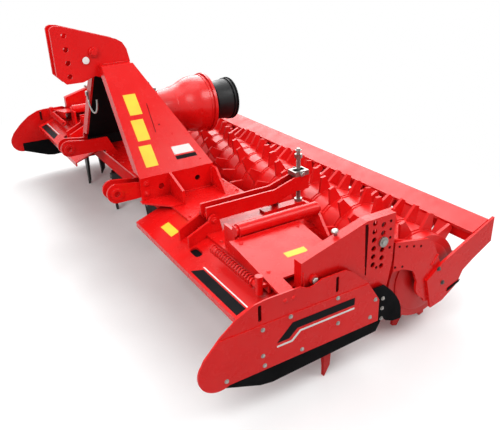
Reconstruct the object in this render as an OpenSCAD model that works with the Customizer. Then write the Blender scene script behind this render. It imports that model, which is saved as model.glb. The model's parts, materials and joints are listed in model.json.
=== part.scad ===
// Power harrow, 3 m class, with toothed packer roller, levelling bar and side deflectors.
// Frame: +X to the machine's left, -Y to the tractor, +Z up, floor at Z = 0. Sizes in mm.

/* [General] */
// Sheet thickness
sheet = 8; // [5:0.5:12]
// Heavy plate thickness
plate = 12; // [8:0.5:20]
// Play between pieces that turn in each other
play = 0.3; // [0.1:0.05:0.6]

/* [Trough] */
// Number of rotors
rotor_n = 10; // [6:2:14]
// Distance between rotor axes
rotor_pitch = 300; // [260:5:340]
// Y of the rotor line
rotor_y = -168; // [-200:1:-140]
// How far each end of the trough stands inside the tilled width
trough_end_gap = 38; // [20:1:60]
// Half of the trough's depth from front to rear
trough_half_d = 175; // [160:1:185]
// Underside of the trough
trough_bottom_z = 290; // [260:1:320]
// Upper side of the trough's walls
trough_top_z = 425; // [400:1:440]
// Chamfer along the trough's lower corners
trough_chamfer = 55; // [30:1:70]
// Lid thickness
lid_t = 10; // [6:0.5:14]
// How far the lid stands over the walls
lid_over = 6; // [3:0.5:9]
// Radius of the bearing rings under the trough
ring_r = 78; // [60:1:95]
// Height of the bearing rings
ring_h = 18; // [10:1:30]

/* [Rotors] */
// Radius of the rotor shaft
rotor_shaft_r = 35; // [25:1:45]
// How deep the shaft goes into the trough
rotor_shaft_in = 42; // [25:1:80]
// Gap between bearing ring and tine holder
holder_gap = 8; // [6:1:20]
// Height of the tine holder
holder_h = 46; // [30:1:60]
// Half length of the tine holder, out to the tines
holder_half = 122; // [95:1:125]
// Width of the tine holder
holder_w = 78; // [60:1:90]
// Radius of the holder's round boss
holder_boss_r = 62; // [50:1:75]
// Tine thickness
tine_t = 16; // [10:1:20]
// Tine width at its holder
tine_w = 62; // [45:1:70]
// Tine width near its tip
tine_tip_w = 30; // [18:1:45]
// Height over which the tine's foot is cut on the slant
tine_slant = 40; // [10:1:60]
// Rest angle of the rotors
rotor_rest_angle = 110; // [0:1:180]
// Turn from a rotor to the next
rotor_step_angle = 80; // [45:1:90]

/* [Headstock] */
// Half of the distance over the top-link plates
mast_half = 45; // [38:1:60]
// Z of the headstock's shoulder
shoulder_z = 1015; // [950:1:1060]
// Outer X of the cheek at its shoulder
cheek_top_x = 96; // [75:1:130]
// Outer X of the cheek at its foot
cheek_foot_x = 452; // [420:1:480]
// Z where the cheek bends to the upright
cheek_bend_z = 551; // [530:1:580]
// Front edge of the cheek
cheek_front_y = -445; // [-465:1:-425]
// Rear edge of the cheek at its shoulder
cheek_top_rear_y = -288; // [-330:1:-250]
// Rear edge of the cheek at its bend
cheek_foot_rear_y = -62; // [-100:1:-30]
// Width of the folded front flange of the cheek
cheek_flange = 52; // [30:1:70]
// How far the gussets beside a cheek reach out
gusset_w = 142; // [110:1:170]
// Height of the front gusset's outer edge
gusset_h = 68; // [40:1:90]
// Width of the rear gusset's top edge
gusset_top_w = 46; // [25:1:70]
// Y of the front gusset
gusset_y = -298; // [-315:1:-280]
// How far the shelf between clevis and gusset stands out in front of the lid
shelf_l = 106; // [80:1:120]
// Length of the clevis ears' foot on the lid
ear_foot_l = 58; // [35:1:80]
// Radius of the holes in the cheek's upright
cheek_hole_r = 14; // [8:1:20]
// Length of the black sheets in the drive tunnel
tunnel_l = 235; // [200:1:270]
// Y of the top-link holes
top_hole_y = -587; // [-610:1:-565]
// Z of the lowest top-link hole
top_hole_z = 976; // [965:1:990]
// Distance between top-link holes
top_hole_pitch = 63; // [50:1:70]
// Number of top-link holes
top_hole_n = 4; // [2:1:4]
// Radius of the top-link holes
top_hole_r = 12.85; // [9:0.05:16]
// Height of the top-link plates
mast_h = 269; // [255:1:300]
// Length of the top-link plates
mast_l = 366; // [340:1:400]
// Foremost edge of the top-link plates
mast_front_y = -648; // [-670:1:-630]
// Lower edge of the top-link plates
mast_low_z = 942; // [930:1:955]
// Radius of the spacer between the top-link plates
mast_spacer_r = 22; // [15:1:30]
// Y of the spacer between the top-link plates
mast_boss_y = -461; // [-490:1:-430]
// Z of the spacer between the top-link plates
mast_boss_z = 1078; // [1050:1:1100]
// Thickness of the black tunnel sheets
tunnel_t = 4; // [3:0.5:6]

/* [Lower links] */
// Clear gap between the clevis ears
ear_gap = 52; // [45:1:70]
// Y of the lower-link hole
link_hole_y = -557; // [-575:1:-540]
// Z of the lower-link hole
link_hole_z = 500; // [490:1:515]
// Radius of the lower-link hole
link_hole_r = 14.35; // [11:0.05:19]
// Radius of the clevis nose
ear_r = 46; // [38:1:55]
// Radius of the boss round the lower-link hole
link_boss_r = 30; // [22:1:36]

/* [Gearbox] */
// Z of the drive shaft
drive_z = 735; // [700:1:760]
// Front face of the gearbox
gearbox_front_y = -190; // [-220:1:-170]
// Rear face of the gearbox
gearbox_rear_y = 140; // [120:1:160]
// Radius of the gearbox at its front
gearbox_neck_r = 98; // [85:1:112]
// Radius of the gearbox's belly
gearbox_r = 150; // [130:1:165]
// Radius of the gearbox's rear rim
gearbox_rim_r = 160; // [140:1:175]
// Thickness of the rear rim
gearbox_rim_t = 14; // [8:1:25]
// Radius of the gearbox's upright foot
gearbox_foot_r = 96; // [80:1:105]
// Radius of the splined ends of the drive shaft
drive_r = 17.45; // [15:0.05:20]
// Radius of the drive shaft in the gearbox
drive_core_r = 24; // [21:0.5:30]
// Length of each splined end
drive_end_l = 110; // [80:1:125]
// Length of the rear bell
bell_l = 155; // [140:1:170]
// Radius of the rear bell at its mouth
bell_r = 114; // [105:1:130]
// Wall of the bell and of the input guard
guard_t = 6; // [3:0.5:10]
// Length of the input guard
input_guard_l = 118; // [90:1:140]
// Wire radius of the drive-shaft hook
hook_wire_r = 5; // [3:0.5:5.5]
// Bend radius of the drive-shaft hook
hook_r = 85; // [60:1:90]
// Z of the drive-shaft hook's ends
hook_z = 830; // [800:1:860]

/* [Front guards] */
// X where the front guards start, beside the headstock
guard_in_x = 500; // [470:1:600]
// Lower edge of the front guards
guard_low_y = -503; // [-540:1:-470]
// Z of the lower edge of the front guards
guard_low_z = 366; // [340:1:390]
// Height of the folded lip
guard_lip = 24; // [12:1:40]
// X of the slot hole in a front guard
guard_slot_x = 975; // [800:1:1100]
// Half width of the slot hole
guard_slot_r = 16; // [8:1:25]
// Length of the slot hole between its round ends
guard_slot_l = 44; // [20:1:70]

/* [Roller] */
// Y of the roller's axis
roller_y = 363; // [355:1:400]
// Radius over the roller's teeth, which is also the height of its axis
roller_r = 257.5; // [235:0.5:260]
// Radius of the drum
drum_r = 182; // [160:1:195]
// Gap between the drum's ends and the side frames
drum_gap = 34; // [20:1:50]
// Number of tooth rings
tooth_ring_n = 26; // [12:2:30]
// Number of teeth in a ring
tooth_n = 10; // [6:1:14]
// Tooth thickness
tooth_t = 14; // [8:1:20]
// Tooth width at the drum
tooth_root_w = 76; // [45:1:90]
// Tooth width at its tip
tooth_tip_w = 26; // [10:1:40]
// Radius of the roller's stub shafts
stub_r = 30; // [22:1:38]

/* [Roller frame] */
// Y of the roller arms' pivot
pivot_y = -231; // [-250:1:-210]
// Z of the roller arms' pivot
pivot_z = 469; // [455:1:480]
// Radius of the pivot pin
pivot_r = 18; // [12:0.5:20]
// Radius of the arm's eye round the pivot
pivot_eye_r = 36; // [30:1:40]
// Thickness of the roller arm
arm_t = 14; // [8:1:20]
// Side room of the roller arm in its bracket
arm_gap = 6; // [5:0.5:10]
// Height of the roller arm's lower edge at its rear end
arm_low_z = 392; // [385:1:420]
// Rear end of the side frames
frame_rear_y = 413; // [400:1:430]
// Top of the side frames
frame_top_z = 493; // [480:1:505]
// Lower end of the side frames
frame_low_z = 160; // [150:1:180]
// Lower end of the rear arms
rear_arm_low_z = 131; // [120:1:150]
// Radius of the bearing housing on a side frame
bearing_r = 78; // [60:1:90]
// Front edge of the rear beam's top
beam_front_y = 590; // [580:1:610]
// Z of the front edge of the rear beam's top
beam_front_z = 412; // [405:1:430]
// Rear edge of the rear beam's top
beam_rear_y = 680; // [670:1:690]
// Z of the rear edge of the rear beam's top
beam_rear_z = 449; // [440:1:470]
// Depth of the rear beam's front fold
beam_fold = 18; // [12:1:24]
// Depth of the rear beam's rear flange
beam_flange = 50; // [30:1:52]
// How far the rear arms stand behind the beam
rear_arm_over = 22; // [21:1:30]
// Width of a scraper
scraper_w = 64; // [40:1:72]
// Thickness of a scraper
scraper_t = 10; // [6:1:14]
// Gap between scraper and drum
scraper_gap = 6; // [5:0.5:12]
// Angle behind the roller's axis where the scrapers meet the drum
scraper_angle = 20; // [10:1:30]

/* [End brackets] */
// Front of the hole box
box_front_y = 5; // [-10:1:20]
// Rear of the hole box
box_rear_y = 140; // [125:1:142]
// Lower end of the hole box
box_low_z = 302; // [290:1:330]
// Z where the box's outer wall starts to narrow towards its foot
box_lean_z = 430; // [410:1:450]
// Lower end of the bracket's inner wall
box_in_z = 390; // [370:1:410]
// Top of the hole box
box_top_z = 624; // [600:1:640]
// Top of the bracket's front end
bracket_front_z = 545; // [520:1:565]
// Y of the rear row of pin holes, where the depth pin sits
depth_pin_y = 84; // [75:1:95]
// Y of the front row of pin holes
depth_row_y = 42; // [35:1:50]
// Z of the depth pin
depth_pin_z = 521; // [515:1:530]
// Distance between the pin holes of a row
depth_pitch = 34; // [30:1:38]
// Radius of the depth pin
depth_pin_r = 11; // [9:0.5:12]
// Radius of the depth pin's head
depth_head_r = 20; // [15:1:24]
// Width of the slit in front of the hole box
box_slit = 7; // [4:0.5:10]

/* [Side deflectors] */
// Distance of the hinge tube from the trough's end
hinge_in = 322; // [280:1:350]
// Z of the deflector's hinge tube
hinge_z = 530; // [520:1:545]
// Outer radius of the hinge tube
hinge_tube_r = 28; // [24:1:34]
// Radius of the hinge pin
hinge_pin_r = 17; // [12:0.5:20]
// Front end of the hinge tube
hinge_front_y = -320; // [-335:1:-300]
// Rear end of the hinge tube
hinge_rear_y = 52; // [30:1:60]
// Width of the fixed hinge base
base_w = 84; // [60:1:100]
// Drop of the deck from the hinge to its outer edge
deck_drop = 46; // [20:1:50]
// Distance of the deck's outer edge from the trough's end
deck_in = 22; // [15:1:40]
// Front edge of the deck
deck_front_y = -372; // [-385:1:-360]
// Rear edge of the deck
deck_rear_y = -52; // [-80:1:-30]
// Depth of the deck's front fold
deck_fold = 42; // [25:1:50]
// Width of the outrigger to the side plate
outrigger_w = 58; // [40:1:80]
// Radius of the spring's post
post_r = 14; // [8:0.5:16]
// Gap between the end bracket and the skirt
side_gap = 10; // [6:0.5:20]
// Foremost point of the side plates
front_y = -702; // [-720:1:-680]
// Radius of the side plate's nose
nose_r = 77; // [65:1:90]
// Z of the side plate's nose
nose_z = 262; // [255:1:275]
// Length of the side plate's sloping front
nose_run = 238; // [220:1:260]
// Top edge of the side plate
side_top_z = 473; // [460:1:490]
// Y where the side plate's top edge starts to fall
side_fall_y = -105; // [-130:1:-80]
// Z where the side plate's rear edge starts to fall
side_rear_z = 293; // [280:1:310]
// Height of the fold along the side plate's top
side_fold_h = 92; // [60:1:110]
// Lower edge of the side plate
side_low_z = 197; // [190:1:205]
// Rear edge of the side plate
side_rear_y = 62; // [50:1:75]
// Depth of the shallow dip in the side plate's top edge
side_dip = 16; // [8:1:24]
// Half width of the slots in the side plate
side_slot_r = 7; // [4:0.5:10]
// Length of the slots between their round ends
side_slot_l = 50; // [30:1:60]
// Step of the side plate's face at its fold
fold_step = 3; // [1:0.5:4]
// Lowest edge of the wear skirt
skirt_low_z = 119; // [105:1:135]
// How far skirt and flap reach up behind the side plate
skirt_lap = 48; // [30:1:60]
// Rear end of the rear flap
flap_rear_y = 193; // [160:1:200]
// Height of the rear flap
flap_h = 154; // [130:1:175]
// Radius of the spring's coil
spring_r = 15; // [10:1:18]
// Radius of the spring's wire
spring_wire_r = 3; // [2:0.25:3.5]
// Turns of the spring
spring_turns = 18; // [10:1:20]

/* [Levelling bar] */
// X of the levelling bar's arms
lever_x = 880; // [800:1:950]
// Width of an arm's channel
lever_w = 60; // [54:1:70]
// Y of the arms' pivot
lever_pivot_y = -310; // [-320:1:-290]
// Z of the arms' pivot
lever_pivot_z = 490; // [485:1:500]
// Radius of the arms' pivot pin
lever_pin_r = 12; // [8:0.5:13]
// Height of an arm's channel
lever_h = 66; // [50:1:72]
// Y where an arm starts to rise
lever_bend_y = 4; // [-20:1:10]
// Rise of an arm at its rear end
lever_rise = 32; // [25:1:40]
// Front end of the arm's bracket on the front guard
lever_nose_y = -433; // [-450:1:-400]
// Height of the bracket's front end over the front guard
lever_nose_h = 52; // [30:1:70]
// Y of the spindles
spindle_y = 150; // [140:1:152]
// Top of the spindles
spindle_top_z = 690; // [670:1:740]
// Radius of the spindles
spindle_r = 9; // [7:0.5:11]
// Room round a spindle in its nut
spindle_room = 6; // [5:0.5:8]
// Swing of a spindle's nut along its slot
nut_swing = 14; // [12:1:16]
// Height of a spindle's nut
nut_h = 22; // [14:1:30]
// Half width of a spindle's foot on the lid
foot_half = 22; // [16:1:24]
// How far a spindle's foot lies on the lid
foot_lap = 60; // [40:1:80]
// Y of the levelling bar's front face
bar_front_y = 24; // [22:1:28]
// Lower edge of the levelling bar
bar_low_z = 170; // [160:1:185]
// Upper edge of the levelling bar
bar_top_z = 300; // [280:1:310]
// Depth of the levelling bar's top flange
bar_flange = 34; // [25:1:36]
// How far the levelling bar ends inside the trough's ends
bar_in = 22; // [10:1:40]

/* [Hidden] */
$fn = 48;
over = 1;
spring_steps = 12;
spring_sides = 6;
row_half = rotor_n * rotor_pitch / 2;
trough_half = row_half - trough_end_gap;
trough_front_y = rotor_y - trough_half_d;
trough_rear_y = rotor_y + trough_half_d;
lid_z = trough_top_z + lid_t;
lid_front_y = trough_front_y - lid_over;
lid_rear_y = trough_rear_y + lid_over;
ring_z = trough_bottom_z - ring_h;
holder_top_z = ring_z - holder_gap;
holder_z = holder_top_z - holder_h;
ear_out_x = cheek_foot_x - plate;
ear_in_x = ear_out_x - 2 * plate - ear_gap;
arm_in_x = trough_half + sheet + arm_gap;
frame_in_x = arm_in_x + arm_t;
frame_out_x = frame_in_x + plate;
bracket_x = frame_in_x + arm_gap;
bracket_out_x = bracket_x + sheet;
skirt_in_x = bracket_out_x + side_gap;
side_in_x = skirt_in_x + sheet;
half_w = side_in_x + sheet;
drum_half = frame_in_x - drum_gap;
tooth_pitch = 2 * drum_half / tooth_ring_n;
bar_half = trough_half - bar_in;
guard_out_x = trough_half + sheet;
hinge_x = trough_half - hinge_in;
deck_out_x = trough_half - deck_in;
deck_z = hinge_z - hinge_tube_r / 2;
deck_out_z = deck_z - deck_drop;
nose_y = front_y + nose_r;
nose_end_y = front_y + nose_run;
spring_x = hinge_x - 2 * hinge_tube_r;
spring_y = deck_front_y - 2 * spring_r;
spring_z = deck_out_z - spring_r;
spring_run = deck_out_x - 3 * post_r - spring_x;
rear_y = beam_rear_y + rear_arm_over;
lever_in_x = lever_x - lever_w / 2;
lever_out_x = lever_x + lever_w / 2;
lever_low_z = lever_pivot_z - lever_pin_r;
drive_front_y = gearbox_front_y - drive_end_l;
drive_rear_y = gearbox_rear_y + drive_end_l;
foot_top_z = lid_z + plate;
roller_z = sqrt(pow(roller_r, 2) - pow(tooth_tip_w / 2, 2));
bracket_front_y = pivot_y - pivot_eye_r - arm_gap;
lean = atan2(cheek_foot_x - cheek_top_x, shoulder_z - cheek_bend_z);
nut_half = spindle_r + spindle_room + nut_swing + sheet;
nut_z = lever_low_z + lever_rise + lever_h;
stub_half = frame_out_x - play;

RED = [0.82, 0.13, 0.12];
BLACK = [0.09, 0.09, 0.10];
STEEL = [0.62, 0.63, 0.64];

// Outlines as shares of the sizes that they follow
mast_shares = [[0.11, 0], [0, 0.16], [0, 0.94], [0.02, 0.98], [0.06, 1], [0.14, 0.99], [0.84, 0.69],
               [0.92, 0.62], [0.97, 0.5], [1, 0.285], [1, 0], [0.65, 0], [0.5, 0.085], [0.33, 0]];
frame_shares = [[0, 1], [0.68, 0.9], [0.8, 0.83], [1, 0.5], [0.94, 0.24], [0.87, 0], [0.72, 0.02],
                [0.55, 0.3], [0.42, 0.53], [0.2, 0.61], [0, 0.62]];
rear_arm_shares = [[0, 0.43], [0.22, 0.61], [1, 1], [1, 0.66], [0.72, 0.49], [0.57, 0.38],
                   [0.5, 0.21], [0.28, 0.04], [0.1, 0]];
gearbox_shares = [[0, 0], [0.3, 0.08], [0.5, 0.35], [0.66, 0.8], [0.78, 1]];
cheek_hole_shares = [0.27, 0.77];
side_slot_shares = [0.313, 0.735];
nose_shares = [[0.02, 0.12], [0.11, 0.31], [0.37, 0.61], [0.63, 0.83], [0.91, 0.97]];
dip_shares = [[0.08, 0], [0.46, 0], [0.53, 0.8], [0.57, 1], [0.62, 0.8], [0.71, 0]];
fall_shares = [[0, 0], [0.2, 0.1], [0.5, 0.35], [0.6, 0.42], [1, 1]];
flap_shares = [[0, 1], [0.41, 1], [0.64, 0.76], [0.8, 0.54], [0.91, 0.34], [0.98, 0.12], [1, -0.2],
               [0.74, -0.18], [0.5, -0.06], [0.45, 0.02], [0, 0.02]];

ROTORS = [for (k = [1:rotor_n]) str("rotor_", k)];
TINES = [for (k = [1:rotor_n]) str("tines_", k)];
SIDES = ["left", "right"];

function rotor_x(k) = (k - (rotor_n + 1) / 2) * rotor_pitch;
function rotor_turn(k) = rotor_rest_angle + k * rotor_step_angle;
function ring_x(k) = (k - (tooth_ring_n + 1) / 2) * tooth_pitch;
// The teeth run in a spiral over four rings
function tooth_turn(k) = 90 + (k % 4) * 360 / tooth_n / 4;
// Z of the front guard's face at y
function guard_at(y) = trough_top_z - (trough_top_z - guard_low_z) * (trough_front_y - y)
    / (trough_front_y - guard_low_y);
function deck_at(x) = deck_z - deck_drop * (x - hinge_x) / (deck_out_x - hinge_x);
// Points of an outline from its corner, its size and its shares of that size
function place(corner, size, shares) =
    [for (s = shares) [corner[0] + s[0] * size[0], corner[1] + s[1] * size[1]]];

// A profile in Y and Z, drawn out along X from x0 to x1
module along_x(x0, x1) {
    translate([x0, 0, 0]) rotate([90, 0, 90]) linear_extrude(x1 - x0) union() children();
}

// A profile in X and Z, drawn out along Y from y0 to y1
module along_y(y0, y1) {
    translate([0, y1, 0]) rotate([90, 0, 0]) linear_extrude(y1 - y0) union() children();
}

// A round bar along X
module bar_x(x0, x1, y, z, r) {
    translate([x0, y, z]) rotate([0, 90, 0]) cylinder(h = x1 - x0, r = r);
}

// A round bar along Y
module bar_y(y0, y1, x, z, r) {
    translate([x, y0, z]) rotate([-90, 0, 0]) cylinder(h = y1 - y0, r = r);
}

// A round bar along Z
module bar_z(z0, z1, x, y, r) {
    translate([x, y, z0]) cylinder(h = z1 - z0, r = r);
}

// A box from one corner to the other
module box(a, b) {
    translate(a) cube(b - a);
}

// A piece and its twin on the other side
module pair() {
    children();
    mirror([1, 0, 0]) children();
}

// A piece on the named side
module on_side(s) {
    if (s == "left") children();
    else mirror([1, 0, 0]) children();
}

// Trough with its bearing rings
module trough() {
    color(RED) difference() {
        union() {
            along_x(-trough_half, trough_half) polygon([
                [trough_front_y, trough_top_z], [trough_front_y, trough_bottom_z + trough_chamfer],
                [trough_front_y + trough_chamfer, trough_bottom_z],
                [trough_rear_y - trough_chamfer, trough_bottom_z],
                [trough_rear_y, trough_bottom_z + trough_chamfer], [trough_rear_y, trough_top_z]]);
            for (k = [1:rotor_n]) bar_z(ring_z, trough_bottom_z + over, rotor_x(k), rotor_y, ring_r);
        }
        for (k = [1:rotor_n]) bar_z(ring_z - over, trough_bottom_z + rotor_shaft_in + over,
                                    rotor_x(k), rotor_y, rotor_shaft_r + play);
    }
}

// Bolted lid of the trough
module lid() {
    color(RED) box([-trough_half, lid_front_y, trough_top_z], [trough_half, lid_rear_y, lid_z]);
}

// Shaft and tine holder of a rotor
module rotor(k) {
    color(RED) translate([rotor_x(k), rotor_y, 0]) rotate([0, 0, rotor_turn(k)]) {
        bar_z(holder_z, trough_bottom_z + rotor_shaft_in, 0, 0, rotor_shaft_r);
        bar_z(holder_z, holder_top_z, 0, 0, holder_boss_r);
        box([-holder_half, -holder_w / 2, holder_z], [holder_half, holder_w / 2, holder_top_z]);
    }
}

// Two knife tines of a rotor
module tines(k) {
    color(STEEL) translate([rotor_x(k), rotor_y, 0]) rotate([0, 0, rotor_turn(k)])
        for (a = [0, 180]) rotate([0, 0, a]) along_x(holder_half, holder_half + tine_t) polygon([
            [-tine_w / 2, holder_top_z], [-tine_w / 2, holder_z], [-tine_tip_w / 2, tine_slant],
            [-tine_tip_w / 2, 0], [tine_tip_w / 2, tine_slant], [tine_w / 2, holder_z],
            [tine_w / 2, holder_top_z]]);
}

// Outer X of the leaning headstock wall at height z
function lean_x(z) = cheek_foot_x + (cheek_bend_z - z) * tan(lean);
// Inner line of a headstock wall t thick, from the shoulder down to z
function cheek_line(t, z) = [
    [cheek_top_x - t * (cos(lean) + (sin(lean) - 1) * tan(lean)), shoulder_z - t],
    [cheek_foot_x - t, cheek_bend_z - t * tan(lean / 2)], [cheek_foot_x - t, z]];

// What lies behind the sloped rear edge of a cheek, drawn in by t
module behind_cheek(t) {
    along_x(-over, cheek_foot_x + over) polygon([
        [cheek_top_rear_y - t, shoulder_z + over], [cheek_top_rear_y - t, shoulder_z],
        [cheek_foot_rear_y - t, cheek_bend_z], [cheek_foot_rear_y + over, cheek_bend_z],
        [cheek_foot_rear_y + over, shoulder_z + over]]);
}

// Leaning cheek of the headstock with its upright and its front flange
module cheek() {
    flange_z = cheek_bend_z + plate;
    color(RED) difference() {
        union() {
            along_y(cheek_front_y, cheek_foot_rear_y) polygon(concat(
                [[cheek_foot_x, lid_z], [cheek_foot_x, cheek_bend_z], [cheek_top_x, shoulder_z],
                 [mast_half, shoulder_z], [mast_half, shoulder_z - plate]], cheek_line(plate, lid_z)));
            along_y(cheek_front_y, cheek_front_y + plate) polygon([
                [lean_x(flange_z), flange_z], [cheek_top_x, shoulder_z], [mast_half, shoulder_z],
                [mast_half, shoulder_z - cheek_flange], cheek_line(cheek_flange, flange_z)[0],
                [lean_x(flange_z) - cheek_flange / cos(lean), flange_z]]);
        }
        behind_cheek(0);
        for (s = cheek_hole_shares)
            bar_x(cheek_foot_x - plate - over, cheek_foot_x + over,
                  cheek_front_y + s * (cheek_foot_rear_y - cheek_front_y), (lid_z + cheek_bend_z) / 2,
                  cheek_hole_r);
    }
}

// Two gussets and the shelf that tie a cheek to the lid
module cheek_gusset() {
    out_x = cheek_foot_x + gusset_w;
    color(RED) {
        along_y(gusset_y, gusset_y + plate) polygon([
            [cheek_foot_x, lid_z], [cheek_foot_x, cheek_bend_z], [out_x, lid_z + gusset_h],
            [out_x, lid_z]]);
        along_y(cheek_foot_rear_y - plate, cheek_foot_rear_y) polygon([
            [cheek_foot_x, lid_z], [cheek_foot_x, cheek_bend_z - plate],
            [cheek_foot_x + gusset_top_w, cheek_bend_z - plate], [out_x, lid_z]]);
        translate([0, 0, lid_z]) linear_extrude(sheet) polygon([
            [cheek_foot_x, gusset_y], [cheek_foot_x, lid_front_y - shelf_l],
            [cheek_foot_x + 2 * plate, lid_front_y - shelf_l], [out_x, lid_front_y], [out_x, gusset_y]]);
    }
}

// Black sheet that lines the drive tunnel inside a cheek
module tunnel_sheet() {
    low_z = link_hole_z - ear_r + 2 * plate;
    front = cheek_line(cheek_flange - 2 * tunnel_t, low_z);
    back = cheek_line(cheek_flange - tunnel_t, low_z);
    color(BLACK) difference() {
        along_y(cheek_front_y + plate, cheek_front_y + tunnel_l)
            polygon([front[0], front[1], front[2], back[2], back[1], back[0]]);
        behind_cheek(plate);
    }
}

// Top-link plate with its row of holes and the boss of the spacer
module top_link_plate() {
    color(RED) difference() {
        union() {
            along_x(mast_half - plate, mast_half)
                polygon(place([mast_front_y, mast_low_z], [mast_l, mast_h], mast_shares));
            bar_x(mast_half - over, mast_half + sheet, mast_boss_y, mast_boss_z, mast_spacer_r);
        }
        for (k = [0:top_hole_n - 1])
            bar_x(mast_half - plate - over, mast_half + over, top_hole_y,
                  top_hole_z + k * top_hole_pitch, top_hole_r);
    }
}

// Spacer tube between the top-link plates
module mast_spacer() {
    color(RED) bar_x(plate - mast_half, mast_half - plate, mast_boss_y, mast_boss_z, mast_spacer_r);
}

// Bracket with the two clevis ears of a lower link
module lower_link() {
    low_z = link_hole_z - ear_r;
    top_z = cheek_bend_z - plate - sheet;
    color(RED) difference() {
        union() {
            for (x = [ear_in_x, ear_out_x - plate]) along_x(x, x + plate) {
                translate([link_hole_y, link_hole_z]) circle(ear_r);
                polygon([[link_hole_y, low_z], [link_hole_y, link_hole_z + ear_r], [cheek_front_y, top_z],
                         [trough_front_y + plate, top_z], [trough_front_y + ear_foot_l, lid_z],
                         [lid_front_y, lid_z], [lid_front_y, low_z]]);
            }
            box([ear_in_x, link_hole_y + ear_r + plate, low_z], [ear_out_x, lid_front_y, low_z + plate]);
            bar_x(ear_in_x - sheet, ear_in_x + over, link_hole_y, link_hole_z, link_boss_r);
            bar_x(ear_out_x - over, ear_out_x + sheet, link_hole_y, link_hole_z, link_boss_r);
        }
        bar_x(ear_in_x - plate, ear_out_x + plate, link_hole_y, link_hole_z, link_hole_r);
    }
}

// Bevel gearbox on its upright foot
module gearbox() {
    rim_y = gearbox_rear_y - gearbox_rim_t;
    run = rim_y - gearbox_front_y;
    widen = gearbox_r - gearbox_neck_r;
    foot_y = gearbox_front_y + gearbox_foot_r + plate;
    color(RED) difference() {
        union() {
            translate([0, gearbox_front_y, drive_z]) rotate([-90, 0, 0]) rotate_extrude()
                polygon(concat([[0, 0]],
                    [for (s = gearbox_shares) [gearbox_neck_r + s[1] * widen, s[0] * run]],
                    [[gearbox_r, run], [gearbox_rim_r, run], [gearbox_rim_r, run + gearbox_rim_t],
                     [0, run + gearbox_rim_t]]));
            bar_z(lid_z, drive_z - gearbox_neck_r / 2, 0, foot_y, gearbox_foot_r);
            box([-gearbox_r, foot_y - gearbox_foot_r - plate, lid_z], [gearbox_r, lid_rear_y, lid_z + plate]);
        }
        bar_y(gearbox_front_y - over, gearbox_rear_y + over, 0, drive_z, drive_core_r + play);
    }
}

// Drive shaft that runs through the gearbox, with a splined end at front and rear
module drive_shaft() {
    color(STEEL) {
        bar_y(gearbox_front_y, gearbox_rear_y, 0, drive_z, drive_core_r);
        bar_y(drive_front_y, drive_rear_y, 0, drive_z, drive_r);
    }
}

// Black guard round the input end
module input_guard() {
    color(BLACK) difference() {
        bar_y(gearbox_front_y - input_guard_l, gearbox_front_y, 0, drive_z, gearbox_neck_r);
        bar_y(gearbox_front_y - input_guard_l - over, gearbox_front_y + over, 0, drive_z,
              gearbox_neck_r - guard_t);
    }
}

// Black bell round the rear end
module rear_bell() {
    color(BLACK) translate([0, gearbox_rear_y, drive_z]) rotate([-90, 0, 0]) rotate_extrude()
        polygon([[gearbox_neck_r - guard_t, 0], [gearbox_neck_r, 0], [bell_r, bell_l],
                 [bell_r - guard_t, bell_l]]);
}

// Bent wire on a cheek's flange that holds the tractor's drive shaft while it is unhitched
module drive_hook() {
    lug_x = lean_x(hook_z) - cheek_flange / 2;
    color(STEEL) mirror([1, 0, 0]) {
        box([lug_x - plate, cheek_front_y - plate, hook_z - plate],
            [lug_x + plate, cheek_front_y, hook_z + plate]);
        translate([lug_x - hook_r, cheek_front_y - plate / 2, hook_z]) rotate([90, 0, 0])
            rotate_extrude(angle = -180) translate([hook_r, 0]) circle(hook_wire_r);
    }
}

// Sloped guard in front of the trough with its folded lip and slot hole
module front_guard() {
    slot_y = (guard_low_y + trough_front_y) / 2;
    color(RED) difference() {
        along_x(guard_in_x, guard_out_x) polygon([
            [trough_front_y, trough_top_z], [guard_low_y, guard_low_z],
            [guard_low_y, guard_low_z - guard_lip], [guard_low_y + sheet, guard_low_z - guard_lip],
            [guard_low_y + sheet, guard_low_z - sheet / 2], [trough_front_y, trough_top_z - plate]]);
        for (x = [guard_slot_x - guard_slot_l / 2, guard_slot_x + guard_slot_l / 2])
            bar_z(guard_low_z, trough_top_z, x, slot_y, guard_slot_r);
        box([guard_slot_x - guard_slot_l / 2, slot_y - guard_slot_r, guard_low_z],
            [guard_slot_x + guard_slot_l / 2, slot_y + guard_slot_r, trough_top_z]);
    }
}

// Side outline of an end bracket's wall down to z, its foot drawn in by t
module gusset(z, t) {
    low_z = pivot_z - pivot_eye_r;
    polygon([[bracket_front_y, low_z], [bracket_front_y, bracket_front_z], [box_front_y, box_top_z],
             [box_rear_y, box_top_z], [box_rear_y, box_lean_z], [box_rear_y - t, z], [box_front_y + t, z],
             [box_front_y, z + t]]);
}

// Fixed bracket on the trough's end with the hole box for the depth pin
module end_bracket() {
    color(RED) difference() {
        union() {
            along_x(bracket_x, bracket_out_x) gusset(box_low_z, 2 * plate);
            along_x(trough_half, trough_half + sheet) gusset(box_in_z, sheet);
            along_x(trough_half, bracket_out_x) polygon([
                [bracket_front_y - sheet, pivot_z - pivot_eye_r], [bracket_front_y - sheet, bracket_front_z],
                [box_front_y, box_top_z], [box_rear_y, box_top_z], [box_rear_y, box_top_z - sheet],
                [box_front_y, box_top_z - sheet], [bracket_front_y, bracket_front_z - sheet],
                [bracket_front_y, pivot_z - pivot_eye_r]]);
            bar_x(trough_half, bracket_out_x + sheet, pivot_y, pivot_z, pivot_r);
        }
        for (k = [-3:2]) bar_x(trough_half - over, bracket_out_x + over, depth_pin_y,
                               depth_pin_z + k * depth_pitch, depth_pin_r);
        for (k = [-3:2]) bar_x(trough_half - over, bracket_out_x + over, depth_row_y,
                               depth_pin_z + (k + 1 / 2) * depth_pitch, depth_pin_r);
        box([bracket_x - over, box_front_y, box_in_z + plate],
            [bracket_out_x + over, box_front_y + box_slit, box_top_z - 2 * plate]);
    }
}

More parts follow.
